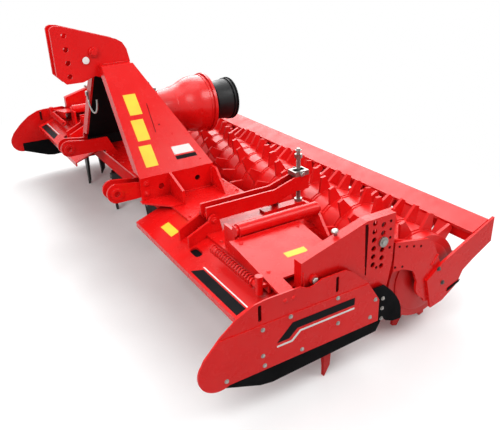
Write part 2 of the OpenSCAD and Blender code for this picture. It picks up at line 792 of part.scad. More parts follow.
// Depth pin with its head
module depth_pin() {
    color(STEEL) {
        bar_x(trough_half, bracket_out_x, depth_pin_y, depth_pin_z, depth_pin_r);
        bar_x(bracket_out_x, bracket_out_x + sheet, depth_pin_y, depth_pin_z, depth_head_r);
    }
}

// Arm from the pivot to the roller's side frame
module roller_arm() {
    top_z = depth_pin_z - depth_pin_r - play;
    color(RED) difference() {
        along_x(arm_in_x, frame_in_x) {
            translate([pivot_y, pivot_z]) circle(pivot_eye_r);
            polygon([[pivot_y, pivot_z - pivot_eye_r], [pivot_y, pivot_z + pivot_eye_r],
                     [depth_row_y, top_z], [box_rear_y, top_z],
                     [roller_y - drum_r / 2, frame_top_z - 3 * plate], [roller_y - drum_r / 2, arm_low_z]]);
        }
        bar_x(arm_in_x - over, frame_in_x + over, pivot_y, pivot_z, pivot_r + play);
    }
}

// Side frame that carries the roller's bearing
module side_frame() {
    front = box_rear_y + plate;
    color(RED) difference() {
        along_x(frame_in_x, frame_out_x) {
            polygon(place([front, frame_low_z], [frame_rear_y - front, frame_top_z - frame_low_z],
                          frame_shares));
            translate([roller_y, roller_z]) circle(bearing_r);
        }
        bar_x(frame_in_x - over, frame_out_x + over, roller_y, roller_z, stub_r + play);
    }
}

// Rear arm that carries the beam
module rear_arm() {
    front = roller_y - stub_r;
    color(RED) along_x(frame_out_x, frame_out_x + plate)
        polygon(place([front, rear_arm_low_z], [rear_y - front, beam_rear_z + sheet - rear_arm_low_z],
                      rear_arm_shares));
}

// Rear beam with the row of scrapers
module rear_beam() {
    slope = atan2(beam_rear_z - beam_front_z, beam_rear_y - beam_front_y);
    width = norm([beam_rear_z - beam_front_z, beam_rear_y - beam_front_y]);
    reach = drum_r + scraper_gap;
    tip = [roller_y + reach * cos(scraper_angle), roller_z + reach * sin(scraper_angle)];
    root = [beam_front_y + sheet * cos(slope) + (beam_fold - sheet) * sin(slope),
            beam_front_z + sheet * sin(slope) - (beam_fold - sheet) * cos(slope)];
    run = root - tip;
    side = scraper_t * [run[1], -run[0]] / norm(run);
    color(RED) {
        translate([0, beam_front_y, beam_front_z]) rotate([slope, 0, 0]) {
            box([-frame_out_x, 0, -sheet], [frame_out_x, width, 0]);
            box([-frame_out_x, 0, -beam_fold], [frame_out_x, sheet, 0]);
            box([-frame_out_x, width - sheet, -beam_flange], [frame_out_x, width, 0]);
        }
        for (k = [1:tooth_ring_n - 1])
            translate([ring_x(k) + tooth_pitch / 2, 0, 0]) along_x(-scraper_w / 2, scraper_w / 2)
                polygon([tip, root, root + side, tip + side]);
    }
}

// One ring of teeth on its hub
module tooth_ring() {
    root_r = drum_r - 2 * sheet;
    circle(drum_r - sheet);
    for (a = [0:tooth_n - 1]) rotate(a * 360 / tooth_n) polygon([
        [root_r, -tooth_root_w / 2], [roller_z, -tooth_tip_w / 2], [roller_z, tooth_tip_w / 2],
        [root_r, tooth_root_w / 2]]);
}

// Packer roller: drum, tooth rings and stub shafts
module roller() {
    color(RED) {
        bar_x(-drum_half, drum_half, roller_y, roller_z, drum_r);
        bar_x(-stub_half, stub_half, roller_y, roller_z, stub_r);
        for (k = [1:tooth_ring_n])
            translate([ring_x(k) - tooth_t / 2, roller_y, roller_z]) rotate([90, 0, 90])
                linear_extrude(tooth_t) rotate(tooth_turn(k)) tooth_ring();
    }
}

// Base plate, ears and pin of a deflector hinge
module hinge_base() {
    in_x = hinge_x - base_w;
    color(RED) {
        box([in_x, hinge_front_y - play - plate, lid_z], [hinge_x, hinge_rear_y + play + plate, foot_top_z]);
        for (y = [hinge_front_y - play - plate, hinge_rear_y + play]) {
            box([in_x, y, lid_z], [hinge_x, y + plate, hinge_z]);
            bar_y(y, y + plate, hinge_x, hinge_z, hinge_tube_r - sheet);
        }
        along_y(hinge_rear_y + play, hinge_rear_y + play + plate)
            polygon([[hinge_x, lid_z], [hinge_x, hinge_z], [hinge_x + base_w, lid_z]]);
        bar_y(hinge_front_y - plate, hinge_rear_y + plate, hinge_x, hinge_z, hinge_pin_r);
    }
}

// Sloped layer of a deflector from x0 to x1, between two depths under the deck
module deck_profile(x0, x1, top, low) {
    polygon([[x0, deck_at(x0) - top], [x1, deck_at(x1) - top], [x1, deck_at(x1) - low],
             [x0, deck_at(x0) - low]]);
}

// Places a piece on the spring's axis
module at_spring() {
    translate([spring_x, spring_y, spring_z]) children();
}

// Hinged arm of a side deflector with its deck, its outrigger and the spring's post
module deflector_arm() {
    free_x = hinge_x + hinge_tube_r;
    post_x = deck_out_x - post_r;
    color(RED) difference() {
        union() {
            bar_y(hinge_front_y, hinge_rear_y, hinge_x, hinge_z, hinge_tube_r);
            along_y(hinge_front_y, deck_rear_y) deck_profile(hinge_x, free_x, 0, sheet);
            along_y(deck_front_y, deck_rear_y) deck_profile(free_x, deck_out_x, 0, sheet);
            along_y(deck_front_y, deck_front_y + sheet) deck_profile(free_x, deck_out_x, sheet, deck_fold);
            along_y(deck_front_y, deck_front_y + outrigger_w) deck_profile(deck_out_x, side_in_x, 0, sheet);
            box([skirt_in_x, deck_front_y + over, side_top_z - side_fold_h],
                [side_in_x, deck_front_y + outrigger_w - over, side_top_z - plate]);
            bar_z(deck_at(post_x) - deck_fold, deck_at(post_x) + 2 * post_r, post_x, spring_y, post_r);
            box([post_x - sheet, spring_y, deck_at(post_x) - deck_fold / 2],
                [post_x + sheet, deck_front_y + sheet / 2, deck_at(post_x) - sheet]);
            at_spring() bar_x(spring_run - 2 * spring_r, spring_run + 2 * post_r, 0, 0,
                              spring_r * cos(180 / spring_steps) - spring_wire_r - play);
        }
        bar_y(hinge_front_y - over, hinge_rear_y + over, hinge_x, hinge_z, hinge_pin_r + play);
    }
}

// Side plate with its round nose, its fold and its two slots
module side_plate() {
    band_z = side_top_z - side_fold_h;
    color(RED) difference() {
        union() {
            along_x(side_in_x, half_w) translate([nose_y, nose_z]) circle(nose_r);
            along_x(side_in_x, half_w) polygon([
                [nose_y, nose_z - nose_r + sheet],
                each place([front_y, nose_z], [nose_run, side_top_z - nose_z], nose_shares),
                each place([nose_end_y, side_top_z], [side_fall_y - nose_end_y, -side_dip], dip_shares),
                each place([side_fall_y, side_top_z], [side_rear_y - side_fall_y, side_rear_z - side_top_z],
                           fall_shares),
                [side_rear_y, side_low_z]]);
        }
        box([half_w - fold_step, front_y - over, band_z],
            [half_w + over, side_rear_y + over, side_top_z + over]);
        for (s = side_slot_shares) {
            y = front_y + s * (side_rear_y - front_y);
            z = (band_z + side_top_z - side_slot_l) / 2;
            for (t = [0, 1]) bar_x(side_in_x - over, half_w + over, y, z + t * side_slot_l, side_slot_r);
            box([side_in_x - over, y - side_slot_r, z], [half_w + over, y + side_slot_r, z + side_slot_l]);
        }
    }
}

// Black wear skirt under the side plate
module skirt() {
    color(BLACK) along_x(skirt_in_x, side_in_x) polygon([
        [nose_y, side_low_z - sheet], [nose_end_y, skirt_low_z + sheet],
        [nose_end_y + skirt_lap, skirt_low_z], [side_rear_y, skirt_low_z + 2 * plate],
        [side_rear_y + 2 * plate, side_low_z - plate], [side_rear_y - skirt_lap, side_low_z - plate],
        [side_rear_y - skirt_lap, side_low_z + skirt_lap],
        [nose_y, side_low_z + skirt_lap]]);
}

// Black rear flap of the side plate
module flap() {
    front = side_rear_y - skirt_lap + plate;
    color(BLACK) along_x(skirt_in_x, side_in_x)
        polygon(place([front, side_low_z - plate], [flap_rear_y - front, flap_h], flap_shares));
}

// Points of a wire ring of the spring at step i
function wire_ring(i, n, run) = let (a = 360 * i / spring_steps, x = run * i / n)
    [for (j = [0:spring_sides - 1]) let (b = 360 * j / spring_sides, r = spring_r + spring_wire_r * cos(b))
        [x + spring_wire_r * sin(b), r * cos(a), r * sin(a)]];

// Coil spring that holds a deflector down
module spring() {
    n = spring_turns * spring_steps;
    m = spring_sides;
    points = [for (i = [0:n]) each wire_ring(i, n, spring_run)];
    faces = concat(
        [[for (j = [0:m - 1]) m - 1 - j]], [[for (j = [0:m - 1]) n * m + j]],
        [for (i = [0:n - 1]) for (j = [0:m - 1])
            each [[i * m + j, i * m + (j + 1) % m, (i + 1) * m + (j + 1) % m],
                  [i * m + j, (i + 1) * m + (j + 1) % m, (i + 1) * m + j]]]);
    color(RED) at_spring() polyhedron(points, faces);
}

// Pivot bracket of a levelling-bar arm
module lever_bracket() {
    in_x = lever_in_x - plate - sheet;
    out_x = lever_out_x + sheet;
    eye_r = 2 * lever_pin_r;
    color(RED) {
        for (x = [in_x, out_x]) along_x(x, x + plate) {
            translate([lever_pivot_y, lever_pivot_z]) circle(eye_r);
            polygon([[lid_front_y, lid_z], [lid_front_y, guard_at(lid_front_y)],
                     [lever_nose_y, guard_at(lever_nose_y)],
                     [lever_nose_y, guard_at(lever_nose_y) + lever_nose_h],
                     [lever_pivot_y - eye_r, lever_pivot_z],
                     [lever_pivot_y + eye_r, lever_pivot_z], [lever_pivot_y + eye_r + plate, lid_z]]);
        }
        bar_x(in_x, out_x + plate, lever_pivot_y, lever_pivot_z, lever_pin_r);
    }
}

// Channel arm of the levelling bar with its hanger
module lever_arm() {
    rear = spindle_y + nut_half;
    knee = spindle_y - nut_half;
    low = lever_low_z;
    free_y = lever_pivot_y + 3 * lever_pin_r;
    front = lever_pivot_y - 2 * lever_pin_r;
    half = spindle_r + spindle_room;
    color(RED) difference() {
        union() {
            for (x = [lever_in_x, lever_out_x - sheet]) along_x(x, x + sheet) {
                translate([lever_pivot_y, lever_pivot_z]) circle(lever_pin_r + sheet);
                polygon([[lever_pivot_y, low], [front, lever_pivot_z], [front, low + lever_h],
                         [lever_bend_y, low + lever_h], [knee, nut_z], [rear, nut_z],
                         [rear, low + lever_rise], [knee, low + lever_rise], [lever_bend_y, low]]);
            }
            along_x(lever_in_x, lever_out_x) polygon([
                [free_y, low], [lever_bend_y, low], [knee, low + lever_rise], [rear, low + lever_rise],
                [rear, low + lever_rise + sheet], [knee, low + lever_rise + sheet],
                [lever_bend_y, low + sheet], [free_y, low + sheet]]);
            along_x(lever_in_x - sheet, lever_in_x + sheet / 2) polygon([
                [bar_front_y, bar_top_z], [bar_front_y, low + lever_h / 2],
                [bar_front_y + bar_flange, low + lever_h], [bar_front_y + bar_flange, bar_top_z]]);
        }
        bar_x(lever_in_x - over, lever_out_x + over, lever_pivot_y, lever_pivot_z, lever_pin_r + play);
        box([lever_x - half, spindle_y - half - nut_swing, low],
            [lever_x + half, spindle_y + half + nut_swing, nut_z]);
    }
}

// Slotted nut on an arm's rear end, which rides up and down its spindle
module spindle_nut() {
    half = spindle_r + spindle_room;
    color(STEEL) difference() {
        box([lever_in_x, spindle_y - nut_half, nut_z], [lever_out_x, spindle_y + nut_half, nut_z + nut_h]);
        box([lever_x - half, spindle_y - half - nut_swing, nut_z - over],
            [lever_x + half, spindle_y + half + nut_swing, nut_z + nut_h + over]);
    }
}

// Screw spindle with its collar and its six-sided head
module spindle() {
    head_r = 2 * spindle_r;
    color(STEEL) {
        bar_z(foot_top_z, spindle_top_z, lever_x, spindle_y, spindle_r);
        bar_z(foot_top_z, foot_top_z + plate, lever_x, spindle_y, head_r);
        translate([lever_x, spindle_y, spindle_top_z - 2 * head_r]) cylinder(h = head_r, r = head_r, $fn = 6);
    }
}

// Foot on the lid that carries a spindle
module spindle_foot() {
    color(RED) box([lever_x - foot_half, lid_rear_y - foot_lap, lid_z],
                   [lever_x + foot_half, spindle_y + foot_half, foot_top_z]);
}

// Levelling bar behind the rotors
module levelling_bar() {
    color(RED) along_x(-bar_half, bar_half) polygon([
        [bar_front_y, bar_low_z], [bar_front_y, bar_top_z], [bar_front_y + bar_flange, bar_top_z],
        [bar_front_y + bar_flange, bar_top_z - sheet], [bar_front_y + sheet, bar_top_z - sheet],
        [bar_front_y + sheet, bar_low_z]]);
}

trough();
lid();
gearbox();
input_guard();
rear_bell();
drive_shaft();
drive_hook();
pair() cheek();  // cheeks
pair() cheek_gusset();  // cheek_gussets
pair() tunnel_sheet();  // tunnel_sheets
pair() top_link_plate();  // top_link_plates
mast_spacer();
pair() lower_link();  // lower_links
pair() front_guard();  // front_guards
pair() end_bracket();  // end_brackets
pair() depth_pin();  // depth_pins
pair() hinge_base();  // hinge_bases
pair() lever_bracket();  // lever_brackets
pair() spindle_foot();  // spindle_feet
pair() spindle();  // spindles
pair() spindle_nut();  // spindle_nuts
levelling_bar();
pair() lever_arm();  // lever_arms
pair() roller_arm();  // roller_arms
pair() side_frame();  // side_frames
pair() rear_arm();  // rear_arms
rear_beam();
roller();
for (s = SIDES) on_side(s) deflector_arm();
for (s = SIDES) on_side(s) side_plate();
for (s = SIDES) on_side(s) skirt();
for (s = SIDES) on_side(s) flap();
for (s = SIDES) on_side(s) spring();
for (k = [1:rotor_n]) rotor(k);
for (k = [1:rotor_n]) tines(k);
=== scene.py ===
"""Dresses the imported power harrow: finishes for every solid, its fasteners and fittings, and the studio."""

import json
from math import atan2, cos, pi, radians, sin

import bmesh
import bpy
from mathutils import Matrix, Vector

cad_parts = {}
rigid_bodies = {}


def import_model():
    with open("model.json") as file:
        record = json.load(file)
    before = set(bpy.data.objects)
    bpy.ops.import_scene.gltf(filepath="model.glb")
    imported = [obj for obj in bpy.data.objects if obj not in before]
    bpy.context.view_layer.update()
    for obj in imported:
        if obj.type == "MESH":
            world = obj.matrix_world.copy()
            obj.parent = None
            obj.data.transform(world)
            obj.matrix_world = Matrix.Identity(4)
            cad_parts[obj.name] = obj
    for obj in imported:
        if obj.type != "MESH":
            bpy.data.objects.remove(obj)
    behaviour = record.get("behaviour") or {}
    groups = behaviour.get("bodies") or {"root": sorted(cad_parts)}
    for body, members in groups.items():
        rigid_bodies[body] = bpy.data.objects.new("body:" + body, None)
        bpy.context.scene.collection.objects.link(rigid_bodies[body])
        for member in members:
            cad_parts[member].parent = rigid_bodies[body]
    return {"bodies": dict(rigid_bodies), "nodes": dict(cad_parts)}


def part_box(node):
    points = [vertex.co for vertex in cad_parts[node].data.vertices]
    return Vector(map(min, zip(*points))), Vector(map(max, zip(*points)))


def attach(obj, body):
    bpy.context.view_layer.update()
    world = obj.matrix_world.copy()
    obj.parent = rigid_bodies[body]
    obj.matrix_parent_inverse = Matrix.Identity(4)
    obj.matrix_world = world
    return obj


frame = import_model()

bl_info = {
    "name": "Power harrow",
    "version": (1, 0, 0),
    "blender": (4, 5, 0),
    "location": "3D View > Sidebar > Harrow",
    "description": "Finishes and fittings of a power harrow with a packer roller",
    "category": "Object",
}

ROTORS = sorted((n for n in frame["bodies"] if n.startswith("rotor_")), key=lambda n: int(n[6:]))
END_TINES = f"tines_{len(ROTORS)}"
SIDES = {"left": 1, "right": -1}
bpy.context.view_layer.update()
FILM, PLATE = 0.0008, 0.0012  # thickness of printed film and of a blank plate, in metres


class HarrowFinish(bpy.types.PropertyGroup):
    """Colours and finishes"""

    red: bpy.props.FloatVectorProperty(
        name="Red", description="Paint of the machine", subtype="COLOR", size=3,
        default=(0.72, 0.006, 0.006))
    red_dark: bpy.props.FloatVectorProperty(
        name="Dark red", description="Paint in its darker patches", subtype="COLOR", size=3,
        default=(0.63, 0.004, 0.004))
    black: bpy.props.FloatVectorProperty(
        name="Black", description="Rubber and plastic", subtype="COLOR", size=3, default=(0.0035, 0.0035, 0.004))
    steel: bpy.props.FloatVectorProperty(
        name="Steel", description="Zinc-plated bolts and pins", subtype="COLOR", size=3,
        default=(0.40, 0.39, 0.37))
    yellow: bpy.props.FloatVectorProperty(
        name="Yellow", description="Plain colour patches", subtype="COLOR", size=3, default=(0.85, 0.62, 0.05))
    pale: bpy.props.FloatVectorProperty(
        name="Pale", description="Blank plates and thin stripes", subtype="COLOR", size=3,
        default=(0.78, 0.78, 0.76))
    edge: bpy.props.FloatProperty(
        name="Edge", description="Rounding of the sheet edges", subtype="DISTANCE", unit="LENGTH", default=0.0022)


class HarrowFittings(bpy.types.PropertyGroup):
    """Sizes of the fasteners and fittings"""

    small_bolt: bpy.props.FloatProperty(
        name="Small bolt", description="Radius of the small bolt heads", subtype="DISTANCE", unit="LENGTH",
        default=0.007)
    bolt: bpy.props.FloatProperty(
        name="Bolt", description="Radius of the usual bolt heads", subtype="DISTANCE", unit="LENGTH",
        default=0.0095)
    big_bolt: bpy.props.FloatProperty(
        name="Big bolt", description="Radius of the pivot bolts' heads", subtype="DISTANCE", unit="LENGTH",
        default=0.012)
    weld: bpy.props.FloatProperty(
        name="Weld", description="Radius of the weld beads", subtype="DISTANCE", unit="LENGTH", default=0.004)


class HarrowStage(bpy.types.PropertyGroup):
    """Camera and studio"""

    eye: bpy.props.FloatVectorProperty(
        name="Camera", description="Place of the camera", subtype="TRANSLATION", unit="LENGTH", size=3,
        default=(2.884, -1.278, 1.520))
    azimuth: bpy.props.FloatProperty(
        name="Azimuth", description="Side that the camera looks from", subtype="ANGLE", default=radians(59.757))
    elevation: bpy.props.FloatProperty(
        name="Elevation", description="Height that the camera looks from", subtype="ANGLE",
        default=radians(24.933))
    roll: bpy.props.FloatProperty(
        name="Roll", description="Tilt of the camera", subtype="ANGLE", default=radians(-2.033))
    lens: bpy.props.FloatProperty(
        name="Lens", description="Focal length in millimetres", default=41.84)
    key_power: bpy.props.FloatProperty(
        name="Key light", description="Power of the large lamp in watts", default=110.0)
    world_level: bpy.props.FloatProperty(
        name="Room light", description="Strength of the light from all round", default=0.40)


def finish():
    return bpy.context.scene.harrow_finish


def fittings():
    return bpy.context.scene.harrow_fittings


# Node materials

def new_material(name):
    """A new node material, its tree and its shader."""
    material = bpy.data.materials.new(name)
    material.use_nodes = True
    tree = material.node_tree
    return material, tree, tree.nodes["Principled BSDF"]


def noise(tree, scale, detail=4.0, rough=0.55, stretch=(1, 1, 1)):
    """A noise factor in the part's own frame."""
    coords = tree.nodes.new("ShaderNodeTexCoord")
    mapping = tree.nodes.new("ShaderNodeMapping")
    mapping.inputs["Scale"].default_value = stretch
    texture = tree.nodes.new("ShaderNodeTexNoise")
    texture.inputs["Scale"].default_value = scale
    texture.inputs["Detail"].default_value = detail
    texture.inputs["Roughness"].default_value = rough
    tree.links.new(coords.outputs["Object"], mapping.inputs["Vector"])
    tree.links.new(mapping.outputs["Vector"], texture.inputs["Vector"])
    return texture.outputs["Fac"]


def ramp(tree, factor, stops):
    """A colour ramp over a factor, from (place, colour) stops."""
    node = tree.nodes.new("ShaderNodeValToRGB")
    elements = node.color_ramp.elements
    while len(elements) < len(stops):
        elements.new(0.5)
    for element, (place, colour) in zip(elements, stops):
        element.position = place
        element.color = (*colour, 1.0)
    tree.links.new(factor, node.inputs["Fac"])
    return node.outputs["Color"]


def spread(tree, factor, low, high, start=0.3, end=0.7):
    """A factor spread over a range of values."""
    node = tree.nodes.new("ShaderNodeMapRange")
    node.inputs["From Min"].default_value = start
    node.inputs["From Max"].default_value = end
    node.inputs["To Min"].default_value = low
    node.inputs["To Max"].default_value = high
    tree.links.new(factor, node.inputs["Value"])
    return node.outputs["Result"]


def mix(tree, factor, a, b):
    """Two colours mixed by a factor."""
    node = tree.nodes.new("ShaderNodeMix")
    node.data_type = "RGBA"
    sockets = [i for i in node.inputs if i.enabled]
    tree.links.new(factor, sockets[0])
    for socket, value in zip(sockets[1:], (a, b)):
        if isinstance(value, tuple):
            socket.default_value = (*value, 1.0)
        else:
            tree.links.new(value, socket)
    return next(o for o in node.outputs if o.enabled)


def combine(tree, operation, a, b):
    """Two factors put together by an operation."""
    node = tree.nodes.new("ShaderNodeMath")
    node.operation = operation
    tree.links.new(a, node.inputs[0])
    tree.links.new(b, node.inputs[1])
    return node.outputs["Value"]


def bump(tree, shader, height, strength, distance):
    """A bump on the shader's normal."""
    node = tree.nodes.new("ShaderNodeBump")
    node.inputs["Strength"].default_value = strength
    node.inputs["Distance"].default_value = distance
    tree.links.new(height, node.inputs["Height"])
    tree.links.new(node.outputs["Normal"], shader.inputs["Normal"])


def seen_directly(tree):
    """1 for what the camera sees straight or in a reflection, else 0."""
    rays = tree.nodes.new("ShaderNodeLightPath")
    value = rays.outputs["Is Camera Ray"]
    for other in ("Is Glossy Ray", "Is Transmission Ray"):
        value = combine(tree, "MAXIMUM", value, rays.outputs[other])
    return value


def edge_factor(tree, radius):
    """How near a place is to a sharp edge, from 0 on a flat to 1 on the edge."""
    rounded = tree.nodes.new("ShaderNodeBevel")
    rounded.samples = 4
    rounded.inputs["Radius"].default_value = radius
    flat = tree.nodes.new("ShaderNodeNewGeometry")
    dot = tree.nodes.new("ShaderNodeVectorMath")
    dot.operation = "DOT_PRODUCT"
    tree.links.new(rounded.outputs["Normal"], dot.inputs[0])
    tree.links.new(flat.outputs["Normal"], dot.inputs[1])
    return spread(tree, dot.outputs["Value"], 1.0, 0.0, 0.72, 0.97)


SCUFF, CORNER = 0.004, 0.09  # reach of the scuffs along an edge and of the shade in a corner, in metres


def painted_corner_shade(tree, reach):
    """How closed in a place is, from 0 in the open to 1 deep in a corner: the mask of the painted shade."""
    node = tree.nodes.new("ShaderNodeAmbientOcclusion")
    node.samples = 6
    node.inputs["Distance"].default_value = reach
    return spread(tree, node.outputs["AO"], 1.0, 0.0, 0.10, 0.50)


def paint(name, light, dark, peel=0.05, rough=(0.20, 0.32), chips=0.35, gloss=0.22):
    """Paint with soft clouding, an orange-peel skin, dust, scuffed edges and painted shade in its corners."""
    material, tree, shader = new_material(name)
    tone = ramp(tree, noise(tree, 2.2, 5.0), [(0.32, dark), (0.68, light)])
    dust = spread(tree, noise(tree, 9.0, 7.0, 0.7), 0.0, 0.10, 0.52, 0.78)
    tone = mix(tree, dust, tone, (0.50, 0.08, 0.06))
    scuffed = combine(tree, "MULTIPLY", edge_factor(tree, SCUFF),
                      spread(tree, noise(tree, 60.0, 5.0, 0.65), 0.0, chips, 0.42, 0.68))
    tone = mix(tree, scuffed, tone, (0.74, 0.12, 0.10))
    # Painted shade: the colour darkens towards a quarter of the dark red where a place is closed in
    tone = mix(tree, painted_corner_shade(tree, CORNER), tone, tuple(0.25 * c for c in dark))
    tree.links.new(tone, shader.inputs["Base Color"])
    tree.links.new(spread(tree, noise(tree, 14.0, 6.0), *rough), shader.inputs["Roughness"])
    shader.inputs["Specular IOR Level"].default_value = gloss
    bump(tree, shader, noise(tree, 130.0, 2.0), peel, 0.002)
    return material


def metal(name, colour, rough=(0.28, 0.46), stain=(0.20, 0.15, 0.11), brush=(1, 1, 1)):
    """Plated or bare metal with fine brushing and faint stains."""
    material, tree, shader = new_material(name)
    shade = tuple(c * 0.72 for c in colour)
    tone = ramp(tree, noise(tree, 45.0, 6.0, 0.6, brush), [(0.3, shade), (0.7, colour)])
    stained = spread(tree, noise(tree, 28.0, 6.0, 0.7), 0.0, 0.55, 0.55, 0.80)
    tree.links.new(mix(tree, stained, tone, stain), shader.inputs["Base Color"])
    tree.links.new(spread(tree, noise(tree, 70.0, 5.0), *rough), shader.inputs["Roughness"])
    shader.inputs["Metallic"].default_value = 0.9
    bump(tree, shader, noise(tree, 240.0, 3.0, 0.5, brush), 0.08, 0.001)
    return material


def rubber(name, colour, rough=(0.52, 0.72), grain=170.0, gloss=0.03):
    """Black rubber or plastic with a fine grain, grey scuffs and dust."""
    material, tree, shader = new_material(name)
    grey = tuple(0.004 + c for c in colour)
    tone = ramp(tree, noise(tree, 7.0, 6.0, 0.65), [(0.40, colour), (0.85, grey)])
    scuffed = combine(tree, "MULTIPLY", edge_factor(tree, SCUFF),
                      spread(tree, noise(tree, 40.0, 5.0), 0.0, 0.5, 0.4, 0.7))
    tree.links.new(mix(tree, scuffed, tone, (0.03, 0.029, 0.028)), shader.inputs["Base Color"])
    tree.links.new(spread(tree, noise(tree, 22.0, 6.0), *rough), shader.inputs["Roughness"])
    shader.inputs["Specular IOR Level"].default_value = gloss
    bump(tree, shader, noise(tree, grain, 3.0), 0.12, 0.001)
    return material


def film(name, colour, rough=0.34, gloss=0.2):
    """Printed film of one colour with slight fading."""
    material, tree, shader = new_material(name)
    faded = tuple(min(1.0, 0.88 * c + 0.004) for c in colour)
    tree.links.new(ramp(tree, noise(tree, 16.0, 5.0), [(0.35, faded), (0.65, colour)]),
                   shader.inputs["Base Color"])
    tree.links.new(spread(tree, noise(tree, 60.0, 4.0), rough - 0.06, rough + 0.08), shader.inputs["Roughness"])
    shader.inputs["Specular IOR Level"].default_value = gloss
    bump(tree, shader, noise(tree, 90.0, 3.0), 0.04, 0.001)
    return material


MATERIALS = {}


def make_materials():
    """All the finishes, by name."""
    look = finish()
    red, dark, black = tuple(look.red), tuple(look.red_dark), tuple(look.black)
    MATERIALS.update(
        red_paint=paint("red_paint", red, dark),
        casting=paint("painted_casting", red, dark, peel=0.04, rough=(0.24, 0.34), gloss=0.45),
        roller=paint("roller_paint", red, dark, peel=0.10, rough=(0.30, 0.48), chips=0.5, gloss=0.34),
        matt_paint=paint("matt_paint", red, dark, rough=(0.42, 0.58), gloss=0.02),
        # Tines and rotors are near black, partly dark forged steel and partly painted shade for the shade under
        # the trough; the end tines keep red paint
        tine=rubber("dark_forging_and_shade", (0.010, 0.009, 0.009), rough=(0.34, 0.55), grain=60.0, gloss=0.3),
        end_tine=paint("tine_paint", tuple(0.8 * c for c in red), tuple(0.5 * c for c in dark), peel=0.2,
                       rough=(0.34, 0.55), chips=0.8),
        rubber=rubber("black_rubber", black),
        plastic=rubber("black_plastic", black, rough=(0.36, 0.55), grain=90.0, gloss=0.3),
        zinc=metal("zinc_plate", tuple(look.steel)),
        bare=metal("bare_steel", (0.30, 0.28, 0.26), rough=(0.24, 0.42), brush=(1, 12, 1)),
        dark_steel=metal("dark_steel", (0.10, 0.095, 0.09), rough=(0.38, 0.55)),
        yellow=film("yellow_film", tuple(look.yellow)),
        pale=film("pale_film", tuple(look.pale)),
        dark_film=film("dark_film", (0.005, 0.0055, 0.007), gloss=0.04),
        # Painted shade: a dark red film that stands for the shade inside holes, slits, slots and gaps
        hole=film("hole_shadow", (0.045, 0.002, 0.002), rough=0.8, gloss=0.02),
    )


# Mesh pieces

def meshes(count):
    """Empty meshes to build in."""
    return [bmesh.new() for _ in range(count)]


def facing(at, axis, spin=0.0):
    """A matrix that stands at a place with its Z along an axis."""
    turn = Vector(axis).to_track_quat("Z", "Y").to_matrix().to_4x4()
    return Matrix.Translation(Vector(at)) @ turn @ Matrix.Rotation(spin, 4, "Z")


def circle(bm, matrix, radius, height, steps):
    """The points of a circle round a matrix's Z."""
    turns = (2 * pi * i / steps for i in range(steps))
    return [bm.verts.new(matrix @ Vector((radius * cos(a), radius * sin(a), height))) for a in turns]


def wrap(bm, loops):
    """Faces from each loop of points to the next."""
    for low, high in zip(loops, loops[1:]):
        for i in range(len(low)):
            j = (i + 1) % len(low)
            bm.faces.new((low[i], low[j], high[j], high[i]))


def close(bm, loops):
    """Faces over the first and the last loop."""
    bm.faces.new(list(reversed(loops[0])))
    bm.faces.new(loops[-1])


def lathe(bm, profile, matrix, steps=24):
    """A closed turned shape from (radius, height) points."""
    loops = [circle(bm, matrix, radius, height, steps) for radius, height in profile]
    wrap(bm, loops)
    close(bm, loops)


def hoop(bm, profile, matrix, steps):
    """A turned shape whose (radius, height) profile closes on itself, open along its axis."""
    loops = [circle(bm, matrix, radius, height, steps) for radius, height in profile]
    wrap(bm, loops + loops[:1])


# Profiles of a bolt's washer and head, as shares of the head's radius
WASHER = ((1.45, 0.0), (1.45, 0.16), (1.35, 0.24))
WASHER_TOP = 0.23
HEAD = ((1.0, 0.0), (1.0, 0.58), (0.86, 0.72))


def bolt(bm, at, axis, radius, washer=True):
    """A six-sided bolt head with a chamfered top, turned differently at each place."""
    matrix = facing(at, axis, 37.0 * (at[0] + 2.0 * at[1] + 3.0 * at[2]))
    base = 0.0
    if washer:
        lathe(bm, [(radius * r, radius * h) for r, h in WASHER], matrix, 20)
        base = WASHER_TOP * radius
    lathe(bm, [(radius * r, base + radius * h) for r, h in HEAD], matrix, 6)


def dome(bm, at, axis, radius):
    """A round-headed bolt."""
    profile = [(radius * cos(a), 0.55 * radius * sin(a)) for a in (0.0, 0.4, 0.8, 1.15, 1.42)]
    lathe(bm, profile, facing(at, axis), 20)


def ring(bm, at, axis, inner, outer, height, steps=28):
    """A flat ring that lies on a face."""
    profile = [(inner, 0.0), (outer, 0.0), (outer, 0.7 * height), (0.97 * outer, height), (inner, height)]
    hoop(bm, profile, facing(at, axis), steps)


def tube(bm, path, radius, steps=10):
    """A round bar that follows a path, with closed ends and one radius or one for each point."""
    points = [Vector(p) for p in path]
    widths = radius if isinstance(radius, list) else [radius] * len(points)
    turns = [2 * pi * k / steps for k in range(steps)]
    loops = []
    up = None
    for i, (point, width) in enumerate(zip(points, widths)):
        ahead = points[min(i + 1, len(points) - 1)] - points[max(i - 1, 0)]
        ahead.normalize()
        side = ahead.orthogonal().normalized() if up is None else up.cross(ahead).normalized()
        up = ahead.cross(side).normalized()
        loops.append([bm.verts.new(point + width * (cos(a) * side + sin(a) * up)) for a in turns])
    wrap(bm, loops)
    close(bm, loops)


def weld(bm, start, end, radius):
    """A rippled weld bead from one point to another."""
    start, end = Vector(start), Vector(end)
    count = max(6, int((end - start).length / (0.9 * radius)))
    path = [start.lerp(end, i / count) for i in range(count + 1)]
    widths = [radius * (0.82 + 0.18 * ((i * 7) % 3)) for i in range(count + 1)]
    widths[0] = widths[-1] = 0.4 * radius
    tube(bm, path, widths, 7)


def slab(bm, corners, normal, height):
    """A thin plate on a face, from its corners in order and the way that the face looks."""
    up = Vector(normal).normalized() * height
    loops = [[bm.verts.new(Vector(c) + lift) for c in corners] for lift in (Vector(), up)]
    close(bm, loops)
    wrap(bm, loops)


